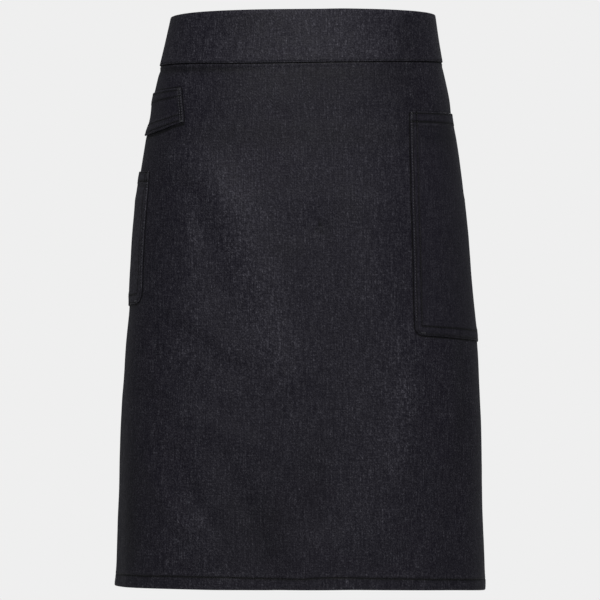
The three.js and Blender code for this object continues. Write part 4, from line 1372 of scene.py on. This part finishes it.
def tie_knot():
    centre, _ = back_point(0.0, TIE_MIDDLE, KNOT_DEPTH / 4)
    across, angle = np.meshgrid(across_tape(17), np.linspace(-math.pi, math.pi, 73)[::-1])
    wear = 0.5 * np.exp(-(0.5 - np.abs(across)) * 20)
    for k, (name, *sizes) in enumerate(KNOT_WRAPS):
        outer, inner = (points + centre for points in knot_wrap(angle, across, *sizes, 75 + k))
        uv = np.stack([angle * 0.012 + k * 0.2, across * TIE_WIDTH], -1)
        dress(sheet_mesh(name, outer, inner, uv, wear=wear), TAPE, "back_tie")


def back_tie():
    band_end = float(half_girth(TIE_MIDDLE) - half_span(TIE_MIDDLE)) - BAND_END_COVER
    tie_knot()
    for side in (-1, 1):
        tie_half(side, band_end)
        tie_tail(side)


# Build

def sewn_width(height):
    """The flat width of the panel with both back edges turned."""
    return 2 * float(half_span(height)) + 2 * EDGE_TURN


panel_cloth = dress(panel(), TWILL, "apron_panel")
panel_threads = stitches("apron_panel_stitches", panel_stitch_rows(), DARK_THREAD, 26)
band_cloth = dress(waistband(), TWILL, "waistband")
band_threads = stitches("waistband_stitches", band_stitch_rows(), DARK_THREAD, 33)

hem_width, top_width = sewn_width(HEM_HEIGHT), sewn_width(SEAM_HEIGHT)
band_length = 2 * float(half_span(0.0)) + 2 * BAND_END_COVER
for pocket_name, pocket_made in POCKETS.items():
    pocket(pocket_name, pocket_made)
towel_loop()
back_tie()


# Stage, lights and camera

def floor():
    turn = np.arange(FLOOR_SIDES) * 2 * math.pi / FLOOR_SIDES
    mesh = bpy.data.meshes.new("floor")
    points = [(FLOOR_RADIUS * math.cos(t), FLOOR_RADIUS * math.sin(t), FLOOR_HEIGHT) for t in turn]
    mesh.from_pydata(points, [], [list(range(FLOOR_SIDES))])
    paint = bpy.data.materials.new("floor_paint")
    paint.use_nodes = True
    shader = paint.node_tree.nodes["Principled BSDF"]
    shader.inputs["Base Color"].default_value = (*PALE, 1)
    shader.inputs["Roughness"].default_value = 0.9
    mesh.materials.append(paint)
    placed(bpy.data.objects.new("floor", mesh))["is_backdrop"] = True


def soft_light(name, place, target, size, power):
    lamp = bpy.data.lights.new(name, "AREA")
    lamp.shape = "RECTANGLE"
    lamp.size, lamp.size_y = size
    lamp.energy = power
    made = placed(bpy.data.objects.new(name, lamp))
    made.location = place
    made.rotation_euler = (Vector(target) - Vector(place)).to_track_quat("-Z", "Y").to_euler()


def studio():
    world = bpy.data.worlds.new("studio")
    bpy.context.scene.world = world
    world.use_nodes = True
    tree = world.node_tree
    tree.nodes.clear()
    seen = node(tree, "Background", {0: (*PALE, 1)}).outputs[0]
    around = node(tree, "Background", {0: (0.95, 0.97, 1.0, 1), 1: 0.145}).outputs[0]
    pick = node(tree, "LightPath").outputs["Is Camera Ray"]
    mixed = node(tree, "MixShader", {0: pick, 1: around, 2: seen}).outputs[0]
    node(tree, "OutputWorld", {0: mixed})
    soft_light("key", (0.05, -1.5, 1.15), (0, -0.1, -0.2), (1.0, 0.6), 35.3)
    soft_light("fill", (1.5, -2.2, 0.2), (0, 0, -0.3), (1.2, 1.6), 2)
    soft_light("back", (0.3, 2.4, 1.3), (0, 0, -0.2), (1.4, 1.0), 30)


def camera():
    lens = bpy.data.cameras.new("camera")
    lens.lens, lens.sensor_width = FOCAL_LENGTH, SENSOR_WIDTH
    made = placed(bpy.data.objects.new("camera", lens))
    made.location = CAMERA_PLACE
    made.rotation_euler = (math.pi / 2, 0, 0)
    bpy.context.scene.camera = made


floor()
studio()
camera()
bpy.context.scene.view_settings.view_transform = "Standard"

SCENE_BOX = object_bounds()
boxes = {"cad": CAD_BOX, "scene": SCENE_BOX}
{name: [list(corner) for corner in box] for name, box in boxes.items()}
